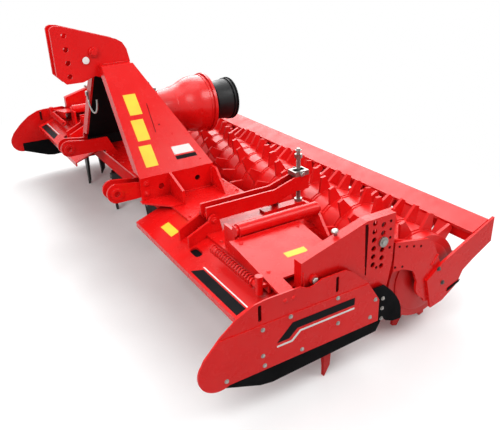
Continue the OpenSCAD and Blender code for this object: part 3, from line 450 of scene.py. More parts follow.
def piece(name, bm, material, body, smooth=35.0):
    """Turns the mesh under work into a piece that rides on a body."""
    bmesh.ops.recalc_face_normals(bm, faces=bm.faces)
    mesh = bpy.data.meshes.new(name)
    bm.to_mesh(mesh)
    bm.free()
    mesh.materials.append(MATERIALS[material])
    mesh.shade_smooth()
    mesh.set_sharp_from_angle(angle=radians(smooth))
    obj = bpy.data.objects.new(name, mesh)
    bpy.context.scene.collection.objects.link(obj)
    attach(obj, body)


# Places

def inside(lo, hi, share):
    """A value between two ends."""
    return lo + share * (hi - lo)


def middle(name):
    """The middle of the box of a solid or a body."""
    lo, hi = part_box(name)
    return [inside(a, b, 0.5) for a, b in zip(lo, hi)]


def across(x, places):
    """Points on a face that stands across X, from their (Y, Z)."""
    return [(x, y, z) for y, z in places]


# Operators

NODE_FINISH = {
    "input_guard": "plastic", "tunnel_sheets": "rubber", "rear_bell": "plastic", "drive_shaft": "bare",
    "drive_hook": "zinc", "depth_pins": "bare", "spindles": "bare", "spindle_nuts": "bare", "gearbox": "casting",
    "trough": "matt_paint", "roller": "roller", "rear_beam": "roller", END_TINES: "end_tine"}
# The near-black finish of the tines and rotors is partly painted shade for the shade under the trough
KIND_FINISH = {"skirt": "rubber", "flap": "rubber", "tines": "tine", "rotor": "tine"}


class HARROW_OT_finishes(bpy.types.Operator):
    """Give every solid its finish and its rounded edges"""

    bl_idname = "harrow.finishes"
    bl_label = "Finishes"

    def execute(self, context):
        make_materials()
        for name, obj in frame["nodes"].items():
            kind = name.rsplit("_", 1)[0]
            look = NODE_FINISH.get(name) or KIND_FINISH.get(kind, "red_paint")
            obj.data.materials.clear()
            obj.data.materials.append(MATERIALS[look])
            if kind != "spring":
                edge = obj.modifiers.new("edge", "BEVEL")
                edge.width = finish().edge
                edge.segments = 2
                edge.limit_method = "ANGLE"
                edge.angle_limit = radians(40)
                edge.harden_normals = True
        return {"FINISHED"}


WHITE = (1.0, 1.0, 1.0, 1.0)
FLOOR_HALF = 14.0
# Name, place, diameter and share of the key light's power of each lamp, and the point that they light
LAMPS = (
    ("key_light", (2.6, -3.0, 3.4), 2.6, 1.1),
    ("top_light", (0.0, 0.0, 4.8), 3.6, 0.50),
    ("fill_light", (3.4, 2.4, 3.9), 2.4, 0.85),
    ("back_light", (-3.6, 2.1, 3.9), 5.0, 2.9))
LIT_POINT = Vector((0, 0, 0.5))


def blend_shaders(tree, factor, a, b):
    """Two shaders mixed by a factor."""
    node = tree.nodes.new("ShaderNodeMixShader")
    for socket, value in zip(node.inputs, (factor, a, b)):
        tree.links.new(value, socket)
    return node.outputs["Shader"]


def floor_material():
    """A pale floor that keeps the shadow, goes white further out and is clear from below."""
    material, tree, shader = new_material("pale_floor")
    nodes, links = tree.nodes, tree.links
    shader.inputs["Roughness"].default_value = 0.9
    shader.inputs["Specular IOR Level"].default_value = 0.1
    tone = ramp(tree, noise(tree, 3.0, 4.0), [(0.3, (0.88, 0.88, 0.88)), (0.7, (0.91, 0.91, 0.91))])
    seen = seen_directly(tree)
    links.new(mix(tree, seen, (0.42, 0.42, 0.42), tone), shader.inputs["Base Color"])
    coords = nodes.new("ShaderNodeTexCoord")
    oval = nodes.new("ShaderNodeMapping")
    oval.inputs["Scale"].default_value = (0.7, 1.1, 1.0)
    reach = nodes.new("ShaderNodeVectorMath")
    reach.operation = "LENGTH"
    links.new(coords.outputs["Object"], oval.inputs["Vector"])
    links.new(oval.outputs["Vector"], reach.inputs[0])
    far = spread(tree, reach.outputs["Value"], 0.0, 1.0, 0.9, 2.3)
    white = nodes.new("ShaderNodeEmission")
    white.inputs["Color"].default_value = WHITE
    above = blend_shaders(tree, combine(tree, "MULTIPLY", seen, far), shader.outputs["BSDF"],
                          white.outputs["Emission"])
    below = nodes.new("ShaderNodeNewGeometry").outputs["Backfacing"]
    clear = nodes.new("ShaderNodeBsdfTransparent").outputs["BSDF"]
    links.new(blend_shaders(tree, below, above, clear), nodes["Material Output"].inputs["Surface"])
    return material


def light_room(scene, level):
    """Even light from all round, white where the camera sees it."""
    world = bpy.data.worlds.new("room")
    world.use_nodes = True
    scene.world = world
    tree = world.node_tree
    room = tree.nodes["Background"]
    room.inputs["Color"].default_value = WHITE
    room.inputs["Strength"].default_value = level
    white = tree.nodes.new("ShaderNodeBackground")
    white.inputs["Color"].default_value = WHITE
    surface = blend_shaders(tree, seen_directly(tree), room.outputs["Background"], white.outputs["Background"])
    tree.links.new(surface, tree.nodes["World Output"].inputs["Surface"])


def hang_lamps(scene, power):
    """The studio's round area lamps."""
    for name, place, size, share in LAMPS:
        lamp = bpy.data.lights.new(name, "AREA")
        lamp.shape = "DISK"
        lamp.size = size
        lamp.energy = share * power
        obj = bpy.data.objects.new(name, lamp)
        obj.location = place
        obj.rotation_euler = (LIT_POINT - Vector(place)).to_track_quat("-Z", "Y").to_euler()
        scene.collection.objects.link(obj)


def set_camera(scene, stage):
    """The camera at the photograph's place and angles."""
    data = bpy.data.cameras.new("camera")
    data.sensor_width = 36.0
    data.lens = stage.lens
    data.clip_end = 100.0
    camera = bpy.data.objects.new("camera", data)
    a, e, r = stage.azimuth, stage.elevation, stage.roll
    back = Vector((sin(a) * cos(e), -cos(a) * cos(e), sin(e)))
    right = (-back).cross(Vector((0, 0, 1))).normalized()
    up = right.cross(-back)
    right, up = cos(r) * right + sin(r) * up, -sin(r) * right + cos(r) * up
    turn = Matrix((right, up, back)).transposed().to_4x4()
    camera.matrix_world = Matrix.Translation(Vector(stage.eye)) @ turn
    scene.collection.objects.link(camera)
    scene.camera = camera


class HARROW_OT_stage(bpy.types.Operator):
    """Set up the floor, the light and the camera"""

    bl_idname = "harrow.stage"
    bl_label = "Studio"

    def execute(self, context):
        scene = context.scene
        stage = scene.harrow_stage
        scene.view_settings.view_transform = "Standard"
        mesh = bpy.data.meshes.new("floor")
        corners = [(x * FLOOR_HALF, y * FLOOR_HALF, 0) for x, y in ((-1, -1), (1, -1), (1, 1), (-1, 1))]
        mesh.from_pydata(corners, [], [(0, 1, 2, 3)])
        mesh.materials.append(floor_material())
        floor = bpy.data.objects.new("floor", mesh)
        scene.collection.objects.link(floor)
        light_room(scene, stage.world_level)
        hang_lamps(scene, stage.key_power)
        set_camera(scene, stage)
        return {"FINISHED"}


LID_BOLT_INSET, LID_BOLT_PITCH = 0.018, 0.146
# Stretches of the lid's two rows where other pieces stand, out from the middle
LID_TAKEN = {"front": ((0.33, 0.61), (0.82, 0.94), (1.04, 1.15)),
             "rear": ((0.0, 0.17), (0.85, 0.91), (1.04, 1.15))}
RING_BOLT_CIRCLE, RING_BOLT = 0.069, 0.0055


class HARROW_OT_lid_bolts(bpy.types.Operator):
    """Set the rows of bolts along the lid and under the bearing rings"""

    bl_idname = "harrow.lid_bolts"
    bl_label = "Lid and ring bolts"

    def execute(self, context):
        lo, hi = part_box("lid")
        lid, rings = meshes(2)
        count = int((hi[0] - 2 * LID_BOLT_INSET) / LID_BOLT_PITCH)
        for row, y in (("front", lo[1] + LID_BOLT_INSET), ("rear", hi[1] - LID_BOLT_INSET)):
            for k in range(-count, count + 1):
                x = k * LID_BOLT_PITCH
                if not any(a <= abs(x) <= b for a, b in LID_TAKEN[row]):
                    bolt(lid, (x, y, hi[2]), (0, 0, 1), fittings().small_bolt)
        piece("lid_bolts", lid, "red_paint", "frame")

        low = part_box("trough")[0][2]
        for body in ROTORS:
            x, y, _ = middle(body)
            for k in range(6):
                a = radians(60 * k + 30)
                at = (x + RING_BOLT_CIRCLE * cos(a), y + RING_BOLT_CIRCLE * sin(a), low)
                bolt(rings, at, (0, 0, -1), RING_BOLT, washer=False)
        piece("ring_bolts", rings, "zinc", "frame")
        return {"FINISHED"}


# Outer face of a leaning cheek: (X, Z) of its foot and its top, and the way that it looks
CHEEK_FOOT, CHEEK_TOP, CHEEK_NORMAL = (0.452, 0.551), (0.096, 1.015), (0.7934, 0.0, 0.6087)
# Places on that face as (Y, Z); a patch is its front, rear, top and bottom
CHEEK_PATCHES = ((-0.392, -0.330, 0.886, 0.800), (-0.396, -0.334, 0.780, 0.694), (-0.400, -0.338, 0.674, 0.588))
PATCH_LEAN = 0.004
CHEEK_PLATE = ((-0.245, 0.648), (-0.150, 0.648), (-0.135, 0.615), (-0.240, 0.615))
CHEEK_BAND = ((-0.239, 0.609), (-0.133, 0.609), (-0.128, 0.594), (-0.236, 0.594))
# A slit and a hole on a cheek, drawn as dark film of painted shade
CHEEK_SLIT_SHADE = ((-0.291, 0.839), (-0.288, 0.839), (-0.292, 0.718), (-0.295, 0.718))
CHEEK_HOLE_SHADE = (-0.264, 0.746)
CHEEK_DOMES = ((-0.215, 0.700), (-0.120, 0.580))
PLATE_RIVETS = ((-0.241, 0.645), (-0.152, 0.645), (-0.139, 0.618), (-0.237, 0.618))
# The upright feet: their outer and inner faces, holes with painted shade behind them, bolts and gussets
FOOT_OUTER, FOOT_INNER, FOOT_WELD = 0.452, 0.4395, 0.453
FOOT_HOLES, FOOT_HOLE_Z = (-0.342, -0.150), 0.493
FOOT_HOLE_SHADE = ((0.022, 0.0), (0.022, 0.002), (0.019, 0.003))
FOOT_BOLT_Y, FOOT_BOLTS_Z = -0.416, (0.472, 0.522)
GUSSETS, GUSSET_END = (-0.2855, -0.0745, -0.0615), 0.588
LID_SEAM_Z = 0.4365
# The mast's plates and the lower links' ears
MAST_DISC, MAST_BOLT = (-0.503, 1.044), (-0.461, 1.078)
DISC = ((0.017, 0.0), (0.017, 0.0006), (0.0165, 0.0008))
MAST_WELD_X, MAST_WELD_Z = 0.046, 1.0165
LINK_HOLE, LINK_EARS = (-0.557, 0.500), ((0.357, -1), (0.447, 1))


def cheek_normal(side):
    """The way that a cheek's outer face looks."""
    return (side * CHEEK_NORMAL[0], 0, CHEEK_NORMAL[2])


def on_cheek(side, y, z, lift=0.0):
    """A place on the outer face of a leaning cheek."""
    x = inside(CHEEK_FOOT[0], CHEEK_TOP[0], (z - CHEEK_FOOT[1]) / (CHEEK_TOP[1] - CHEEK_FOOT[1]))
    return (side * (x + lift * CHEEK_NORMAL[0]), y, z + lift * CHEEK_NORMAL[2])


def cheek_slab(bm, side, corners, height=FILM):
    """A thin plate on a cheek, from its (Y, Z) corners."""
    slab(bm, [on_cheek(side, y, z) for y, z in corners], cheek_normal(side), height)


class HARROW_OT_headstock(bpy.types.Operator):
    """Fit the headstock's bolts, welds, blank plates and colour patches, and the painted shade in its slits and
    holes
    """

    bl_idname = "harrow.headstock"
    bl_label = "Headstock fittings"

    def execute(self, context):
        size = fittings()
        zinc, red, yellow, pale, dark, shaded_openings = meshes(6)
        mast_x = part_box("top_link_plates")[1][0]
        for s in SIDES.values():
            for front, rear, top, low in CHEEK_PATCHES:
                cheek_slab(yellow, s, ((front, top), (rear, top), (rear + PATCH_LEAN, low),
                                       (front + PATCH_LEAN, low)))
            cheek_slab(pale, s, CHEEK_PLATE, PLATE)
            cheek_slab(dark, s, CHEEK_BAND)
            cheek_slab(shaded_openings, s, CHEEK_SLIT_SHADE, 0.0006)
            for y, z in PLATE_RIVETS:
                dome(zinc, on_cheek(s, y, z, 0.001), cheek_normal(s), 0.0022)
            for y, z in CHEEK_DOMES:
                dome(red, on_cheek(s, y, z), cheek_normal(s), 0.005)
            dome(shaded_openings, on_cheek(s, *CHEEK_HOLE_SHADE), cheek_normal(s), 0.004)
            # Painted shade: dark discs on the feet's inner faces behind their holes
            for y in FOOT_HOLES:
                lathe(shaded_openings, FOOT_HOLE_SHADE, facing((s * FOOT_INNER, y, FOOT_HOLE_Z), (-s, 0, 0)), 20)
            lathe(pale, DISC, facing((s * mast_x, *MAST_DISC), (s, 0, 0)), 28)
            bolt(red, (s * mast_x, *MAST_BOLT), (s, 0, 0), 0.016)
            weld(red, (s * MAST_WELD_X, -0.420, MAST_WELD_Z), (s * MAST_WELD_X, -0.292, MAST_WELD_Z), size.weld)
            for z in FOOT_BOLTS_Z:
                bolt(red, (s * FOOT_OUTER, FOOT_BOLT_Y, z), (s, 0, 0), size.bolt)
            weld(red, (s * FOOT_WELD, -0.280, LID_SEAM_Z), (s * FOOT_WELD, -0.080, LID_SEAM_Z), size.weld)
            for y in GUSSETS:
                weld(red, (s * 0.460, y, LID_SEAM_Z), (s * GUSSET_END, y, LID_SEAM_Z), size.weld)
                weld(red, (s * FOOT_WELD, y, 0.446), (s * FOOT_WELD, y, 0.530), size.weld)
            for x, way in LINK_EARS:
                ring(red, (s * x, *LINK_HOLE), (s * way, 0, 0), 0.0150, 0.027, 0.002)
        piece("headstock_rivets", zinc, "zinc", "frame")
        piece("headstock_bolts", red, "red_paint", "frame")
        piece("cheek_patches", yellow, "yellow", "frame")
        piece("cheek_plates", pale, "pale", "frame")
        piece("cheek_bands", dark, "dark_film", "frame")
        piece("cheek_slit_shade", shaded_openings, "hole", "frame")
        return {"FINISHED"}


# Places along the drive axis and radii of the casting's smooth barrel
BARREL = ((-0.176, 0.1000), (-0.0952, 0.1045), (-0.032, 0.1185), (0.0186, 0.1412), (0.0565, 0.1513),
          (0.110, 0.1513))
BARREL_WALL = 0.006
RIM_BOLTS, RIM_CIRCLE, RIM_BOLT = 10, 0.130, 0.011
GEARBOX_FOOT = 0.012
BREATHER_AT = (-0.150, 0.096)
BREATHER = ((0.012, 0.0), (0.012, 0.010), (0.007, 0.012), (0.007, 0.022), (0.005, 0.024))


def eased(points, steps=6):
    """A smooth curve of (place, radius) through points, by cubic spans that end level."""
    last = len(points) - 1
    slopes = []
    for i in range(last):
        (a, ra), (b, rb) = points[max(i - 1, 0)], points[i + 1]
        slopes.append((rb - ra) / (b - a))
    slopes.append(0.0)
    curve = []
    for (a, ra), (b, rb), m, n in zip(points, points[1:], slopes, slopes[1:]):
        run = b - a
        for k in range(steps):
            t = k / steps
            radius = ((1 + 2 * t) * (1 - t) ** 2 * ra + t * (1 - t) ** 2 * run * m
                      + t * t * (3 - 2 * t) * rb + t * t * (t - 1) * run * n)
            curve.append((a + t * run, radius))
    return curve + [points[last]]


class HARROW_OT_gearbox(bpy.types.Operator):
    """Fit the gearbox's smooth barrel, rim bolts, seams, breather and foot bolts"""

    bl_idname = "harrow.gearbox"
    bl_label = "Gearbox fittings"

    def execute(self, context):
        lo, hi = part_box("gearbox")
        axis_z = middle("drive_shaft")[2]
        foot_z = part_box("lid")[1][2] + GEARBOX_FOOT
        bolts, seams, barrel = meshes(3)
        for k in range(RIM_BOLTS):
            a = 2 * pi * (k + 0.5) / RIM_BOLTS
            bolt(bolts, (RIM_CIRCLE * cos(a), hi[1], axis_z + RIM_CIRCLE * sin(a)), (0, 1, 0), RIM_BOLT)
        front, rear = lo[1] + GEARBOX_FOOT, -GEARBOX_FOOT
        for x, rows in ((-0.128, (front, rear)), (-0.05, (front,)), (0.05, (front,)), (0.128, (front, rear))):
            for y in rows:
                bolt(bolts, (x, y, foot_z), (0, 0, 1), fittings().bolt)
        lathe(bolts, BREATHER, facing((0.0, BREATHER_AT[0], axis_z + BREATHER_AT[1]), (0, 0, 1)), 18)
        piece("gearbox_bolts", bolts, "zinc", "frame")

        for y, inner, outer, width, steps in ((lo[1] + 0.001, 0.0965, 0.104, 0.014, 56),
                                              (-0.066, 0.104, 0.1105, 0.005, 56),
                                              (0.108, 0.148, 0.1545, 0.006, 64)):
            ring(seams, (0, y, axis_z), (0, 1, 0), inner, outer, width, steps)
        piece("gearbox_seams", seams, "casting", "frame")

        skin = [(radius, y) for y, radius in eased(BARREL)]
        lining = [(radius - BARREL_WALL, y) for radius, y in reversed(skin)]
        hoop(barrel, skin + lining, facing((0, 0, axis_z), (0, 1, 0)), 72)
        piece("gearbox_barrel", barrel, "casting", "frame")
        return {"FINISHED"}


SPLINES, SPLINE_LENGTH, SPLINE_RADIUS = 6, 0.080, 0.0172
SPLINE_HALF, SPLINE_HEIGHT = 0.0042, 0.0022
BELL_RIDGES = (0.10, 0.22, 0.84, 0.95)


class HARROW_OT_drive(bpy.types.Operator):
    """Cut the splines of the drive shaft and the ridges of its guards"""

    bl_idname = "harrow.drive"
    bl_label = "Drive shaft fittings"

    def execute(self, context):
        lo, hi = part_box("drive_shaft")
        axis_z = middle("drive_shaft")[2]
        splines, ridges = meshes(2)
        for start, end in ((lo[1] + 0.002, lo[1] + SPLINE_LENGTH), (hi[1] - SPLINE_LENGTH, hi[1] - 0.002)):
            for k in range(SPLINES):
                a = 2 * pi * k / SPLINES
                out = Vector((cos(a), 0, sin(a)))
                side = Vector((-sin(a), 0, cos(a))) * SPLINE_HALF
                root = Vector((0, 0, axis_z)) + out * SPLINE_RADIUS
                corners = [root + way * side + Vector((0, y, 0))
                           for way, y in ((1, start), (-1, start), (-1, end), (1, end))]
                slab(splines, corners, out, SPLINE_HEIGHT)
        piece("splines", splines, "bare", "drive_shaft")

        lo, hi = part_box("rear_bell")
        for share in BELL_RIDGES:
            radius = inside(0.098, 0.114, share)
            ring(ridges, (0, inside(lo[1], hi[1], share) - 0.004, axis_z), (0, 1, 0), radius - 0.001,
                 radius + 0.0035, 0.008, 56)
        lo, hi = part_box("input_guard")
        for y in (lo[1] + 0.001, hi[1] - 0.020):
            ring(ridges, (0, y, axis_z), (0, 1, 0), 0.0975, 0.1015, 0.009, 48)
        piece("guard_ridges", ridges, "rubber", "frame")
        return {"FINISHED"}


# The guards' slope from its seam, as (Y, Z), down to its lower edge
GUARD_SEAM, GUARD_LOW_Z = (-0.343, 0.425), 0.366
GUARD_BOLTS = (0.62, 0.80, 1.10, 1.36)
# Corners on the slope as X and the share of the way down
GUARD_PATCH = ((0.660, 0.40), (0.775, 0.40), (0.775, 0.64), (0.660, 0.64))
# Corners of the dark sheet of painted shade under the slot
GUARD_SLOT_SHADE = ((0.92, 0.36), (1.03, 0.36), (1.03, 0.64), (0.92, 0.64))
GUARD_BAND = ((1.06, 0.93), (1.42, 0.93), (1.42, 0.70), (1.10, 0.70))
GUARD_LINE = ((1.085, 0.665), (1.42, 0.665), (1.42, 0.635), (1.09, 0.635))


class HARROW_OT_guards(bpy.types.Operator):
    """Fit the front guards' bolts, plain stripes, patches and a dark sheet of painted shade under each slot"""

    bl_idname = "harrow.guards"
    bl_label = "Front guard fittings"

    def execute(self, context):
        seam, low = GUARD_SEAM, (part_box("front_guards")[0][1], GUARD_LOW_Z)
        normal = Vector((0, low[1] - seam[1], seam[0] - low[0])).normalized()

        def place(x, share, lift=0.0):
            return Vector((x, inside(seam[0], low[0], share), inside(seam[1], low[1], share))) + lift * normal

        bolts, dark, pale, yellow = meshes(4)
        for s in SIDES.values():
            for x in GUARD_BOLTS:
                dome(bolts, place(s * x, 0.10), normal, 0.005)
            # Painted shade: a dark sheet under the slot, seen through it as the slot's shade
            slab(dark, [place(s * x, t, -0.012) for x, t in GUARD_SLOT_SHADE], -normal, 0.004)
            for bm, corners in ((yellow, GUARD_PATCH), (dark, GUARD_BAND), (pale, GUARD_LINE)):
                slab(bm, [place(s * x, t) for x, t in corners], normal, FILM)
        piece("guard_bolts", bolts, "red_paint", "frame")
        piece("guard_patches", yellow, "yellow", "frame")
        piece("guard_bands_and_slot_shade", dark, "dark_film", "frame")
        piece("guard_lines", pale, "pale", "frame")
        return {"FINISHED"}


# The end brackets' outer face and places on it as (Y, Z)
BRACKET_FACE = 1.504
ARM_PIVOT = (-0.231, 0.469)
BRACKET_HOLE_SHADE = ((0.118, 0.596), (0.119, 0.563), (0.120, 0.528), (0.121, 0.486), (0.060, 0.420))
BRACKET_GAP_SHADE = ((-0.004, 0.612), (0.009, 0.612), (0.009, 0.440), (0.004, 0.440))
BRACKET_WELD = ((-0.272, 0.440), (-0.272, 0.510))
KNOB_AT, KNOB_AXIS = (1.472, -0.112, 0.592), (0, -0.26, 0.966)
KNOB = ((0.006, 0.0), (0.006, 0.012), (0.013, 0.013), (0.013, 0.019), (0.009, 0.022))
PIN_CAP = ((0.010, 0.0), (0.010, 0.004), (0.006, 0.006))


class HARROW_OT_brackets(bpy.types.Operator):
    """Fit the end brackets' pivot bolts, knobs, pin caps and seams, with small holes and a gap drawn in painted
    shade
    """

    bl_idname = "harrow.brackets"
    bl_label = "End bracket fittings"

    def execute(self, context):
        size = fittings()
        bracket_x, pin_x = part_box("end_brackets")[1][0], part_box("depth_pins")[1][0]
        _, pin_y, pin_z = middle("depth_pins")
        zinc, red, caps, shaded_holes = meshes(4)
        for s in SIDES.values():
            bolt(zinc, (s * bracket_x, *ARM_PIVOT), (s, 0, 0), size.big_bolt, washer=False)
            # Painted shade: dark domes for the small holes and a dark strip for the gap beside the hole box
            for at in across(s * BRACKET_FACE, BRACKET_HOLE_SHADE):
                dome(shaded_holes, at, (s, 0, 0), 0.0055)
            slab(shaded_holes, across(s * BRACKET_FACE, BRACKET_GAP_SHADE), (s, 0, 0), FILM)
            lathe(zinc, KNOB, facing((s * KNOB_AT[0], *KNOB_AT[1:]), KNOB_AXIS), 20)
            lathe(caps, PIN_CAP, facing((s * pin_x, pin_y, pin_z), (s, 0, 0)), 20)
            weld(red, *across(s * (BRACKET_FACE + 0.001), BRACKET_WELD), size.weld)
        piece("bracket_bolts", zinc, "zinc", "frame")
        piece("depth_pin_heads", caps, "zinc", "frame")
        piece("bracket_hole_shade", shaded_holes, "hole", "frame")
        piece("bracket_welds", red, "red_paint", "frame")
        return {"FINISHED"}


# Places on a side plate as (Y, Z)
SIDE_BOLTS = ((-0.455, 0.362), (-0.457, 0.256), (-0.451, 0.213), (-0.139, 0.372), (-0.135, 0.263),
              (-0.295, 0.215), (0.020, 0.229), (-0.600, 0.214), (-0.343, 0.372), (0.042, 0.300))
FLAP_BOLTS = ((0.088, 0.284), (0.087, 0.240), (0.086, 0.194))
SIDE_BOLT = 0.0058
SIDE_SLOTS, SLOT_HALF, SLOT_ENDS = (-0.463, -0.140), 0.0072, (0.396, 0.458)
SIDE_DOMES = ((-0.362, 0.440), (-0.328, 0.440))
SIDE_BAND = ((-0.40, 0.285), (-0.335, 0.345), (-0.06, 0.345), (-0.06, 0.315), (-0.315, 0.315), (-0.35, 0.285))
SIDE_LINE = ((-0.40, 0.273), (-0.34, 0.273), (-0.305, 0.303), (-0.06, 0.303), (-0.06, 0.296), (-0.30, 0.296),
             (-0.335, 0.266), (-0.40, 0.266))
# The deflector's deck: (X, Z) of its hinge, its fall, and places on it as (X, Y)
DECK_HINGE, DECK_FALL, DECK_NORMAL = (1.140, 0.516), 0.046 / 0.300, (0.15, 0, 1)
DECK_PATCH = ((1.322, -0.232), (1.352, -0.232), (1.352, -0.140), (1.322, -0.140))
DECK_DOMES = ((1.20, -0.340), (1.39, -0.340), (1.20, -0.080))
DECK_WELD = ((1.170, -0.318), (1.170, -0.055))
# The spring's eye at its outer end and hook at its inner end
SPRING_Y = -0.402
EYE_AT, EYE_RADIUS, EYE_WIRE = (1.404, 0.455), 0.012, 0.0035
HOOK_AT, HOOK_REACH, HOOK_RISE, HOOK_WIRE = (1.086, 0.456), 0.016, 0.014, 0.0030


def on_deck(side, x, y):
    """A place on a deflector's sloping deck."""
    return (side * x, y, DECK_HINGE[1] - DECK_FALL * (x - DECK_HINGE[0]))


class HARROW_OT_deflectors(bpy.types.Operator):
    """Fit the side deflectors' bolts, stripes, patches, spring ends and the painted shade behind their slots"""

    bl_idname = "harrow.deflectors"
    bl_label = "Deflector fittings"

    def execute(self, context):
        for side, s in SIDES.items():
            body = "deflector_" + side
            face_x = s * max(abs(corner[0]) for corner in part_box("side_plate_" + side))
            out, up = (s, 0, 0), Vector((s * DECK_NORMAL[0], *DECK_NORMAL[1:])).normalized()
            bolts, dark, pale, yellow, red, slot_shade = meshes(6)
            for at in across(face_x, SIDE_BOLTS) + across(face_x - s * 0.008, FLAP_BOLTS):
                bolt(bolts, at, out, SIDE_BOLT)
            low, high = SLOT_ENDS
            # Painted shade: a dark plate just behind each slot, seen through it as the slot's shade
            for y in SIDE_SLOTS:
                front, rear = y - SLOT_HALF, y + SLOT_HALF
                corners = across(face_x - s * 0.0078, ((front, low), (rear, low), (rear, high), (front, high)))
                slab(slot_shade, corners, (-s, 0, 0), 0.003)
            for at in across(face_x - s * 0.003, SIDE_DOMES):
                dome(red, at, out, 0.009)
            slab(dark, across(face_x, SIDE_BAND), out, FILM)
            slab(pale, across(face_x, SIDE_LINE), out, FILM)
            slab(yellow, [on_deck(s, x, y) for x, y in DECK_PATCH], up, FILM)
            for x, y in DECK_DOMES:
                dome(red, on_deck(s, x, y), up, 0.008)
            weld(red, *(on_deck(s, x, y) for x, y in DECK_WELD), fittings().weld)
            eye = [(s * (EYE_AT[0] + EYE_RADIUS * sin(a)), SPRING_Y, EYE_AT[1] + EYE_RADIUS * cos(a))
                   for a in (2 * pi * k / 20 for k in range(21))]
            tube(red, eye, EYE_WIRE, 8)
            hook = [(s * (HOOK_AT[0] - HOOK_REACH * sin(a)), SPRING_Y + 0.006 * sin(2 * a),
                     HOOK_AT[1] + HOOK_RISE * cos(a)) for a in (pi * k / 14 for k in range(15))]
            tube(red, hook, HOOK_WIRE, 8)
            piece(body + "_bolts", bolts, "zinc", body)
            piece(body + "_domes", red, "red_paint", body)
            piece(body + "_slot_shade", slot_shade, "hole", body)
            piece(body + "_band", dark, "dark_film", body)
            piece(body + "_line", pale, "pale", body)
            piece(body + "_patch", yellow, "yellow", body)
        return {"FINISHED"}


SPINDLE_X, SPINDLE_HEAD = 0.880, 0.0105
THREAD_RADIUS, THREAD_WIRE, THREAD_PITCH, THREAD_STEPS = 0.0088, 0.0016, 0.006, 12
NUT_HALF, NUT_Z, NUT_BOLT = 0.031, 0.587, 0.010
LEVER_HALF, LEVER_PIVOT = 0.050, (-0.310, 0.490)
HANGER_X, HANGER_BOLTS = 0.842, ((0.041, 0.340), (0.041, 0.400))


class HARROW_OT_leveller(bpy.types.Operator):
    """Cut the spindles' threads and fit the levelling bar's bolts"""

    bl_idname = "harrow.leveller"
    bl_label = "Levelling bar fittings"

    def execute(self, context):
        size = fittings()
        low, top = (corner[2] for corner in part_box("spindles"))
        y = middle("spindles")[1]
        threads, nuts, red = meshes(3)
        for s in SIDES.values():
            for start, end in ((low + 0.016, low + 0.090), (low + 0.160, top - 0.040)):
                count = int((end - start) / THREAD_PITCH * THREAD_STEPS)
                turns = [2 * pi * k / THREAD_STEPS for k in range(count + 1)]
                tube(threads, [(s * SPINDLE_X + THREAD_RADIUS * cos(a), y + THREAD_RADIUS * sin(a),
                                inside(start, end, k / count)) for k, a in enumerate(turns)], THREAD_WIRE, 5)
            bolt(threads, (s * SPINDLE_X, y, top - 0.002), (0, 0, 1), SPINDLE_HEAD)
            for way in (-1, 1):
                bolt(nuts, (s * (SPINDLE_X + way * NUT_HALF), y, NUT_Z), (s * way, 0, 0), NUT_BOLT)
            for way in (1, -1):
                at = (s * (SPINDLE_X + way * LEVER_HALF), *LEVER_PIVOT)
                bolt(red, at, (s * way, 0, 0), size.big_bolt * 0.8)
            for at in across(s * HANGER_X, HANGER_BOLTS):
                bolt(nuts, at, (-s, 0, 0), size.small_bolt)
        piece("spindle_threads", threads, "bare", "frame")
        piece("leveller_bolts", nuts, "zinc", "leveller")
        piece("lever_pivot_bolts", red, "red_paint", "frame")
        return {"FINISHED"}


# The roller: (Y, Z) of its axis, half its length, its tooth rings and its drum
ROLLER_AXIS, ROLLER_HALF, ROLLER_RINGS, DRUM = (0.363, 0.25717), 1.456, 26, 0.182
RING_PITCH = 2 * ROLLER_HALF / ROLLER_RINGS
# Outer faces of the side frames and the rear arm plates, and places on them as (Y, Z)
SIDE_FRAME_X, REAR_ARM_X = 1.502, 1.514
FRAME_HOLE_SHADE = ([(0.175 + 0.0385 * k, 0.4715 - 0.0108 * k) for k in range(4)]
               + [(0.160 + 0.038 * k, 0.386 - 0.009 * k) for k in range(2)])
REAR_ARM_BOLTS = ((0.394, 0.309), (0.425, 0.235))
REAR_ARM_TAB = ((0.462, 0.196), (0.530, 0.216), (0.524, 0.205), (0.458, 0.181))
REAR_ARM_WELD = ((0.360, 0.330), (0.395, 0.372))
# The lip under the rear beam as (Y, Z), and half its length
LIP_HALF = 1.501
LIP_PROFILE = ((0.6110, 0.4125), (0.6140, 0.4137), (0.6180, 0.3480), (0.6290, 0.3450), (0.6290, 0.3420),
               (0.6150, 0.3455))
# The rear beam's front edge as (Y, Z) and its slope, and the scrapers that reach from it to the drum
BEAM_EDGE, BEAM_SLOPE = (0.590, 0.412), atan2(0.037, 0.090)
SCRAPER_GAP, SCRAPER_TURN = 0.006, radians(20)
TIP_HALF, TIP_LENGTH, TIP_THICK = 0.031, 0.022, 0.0016


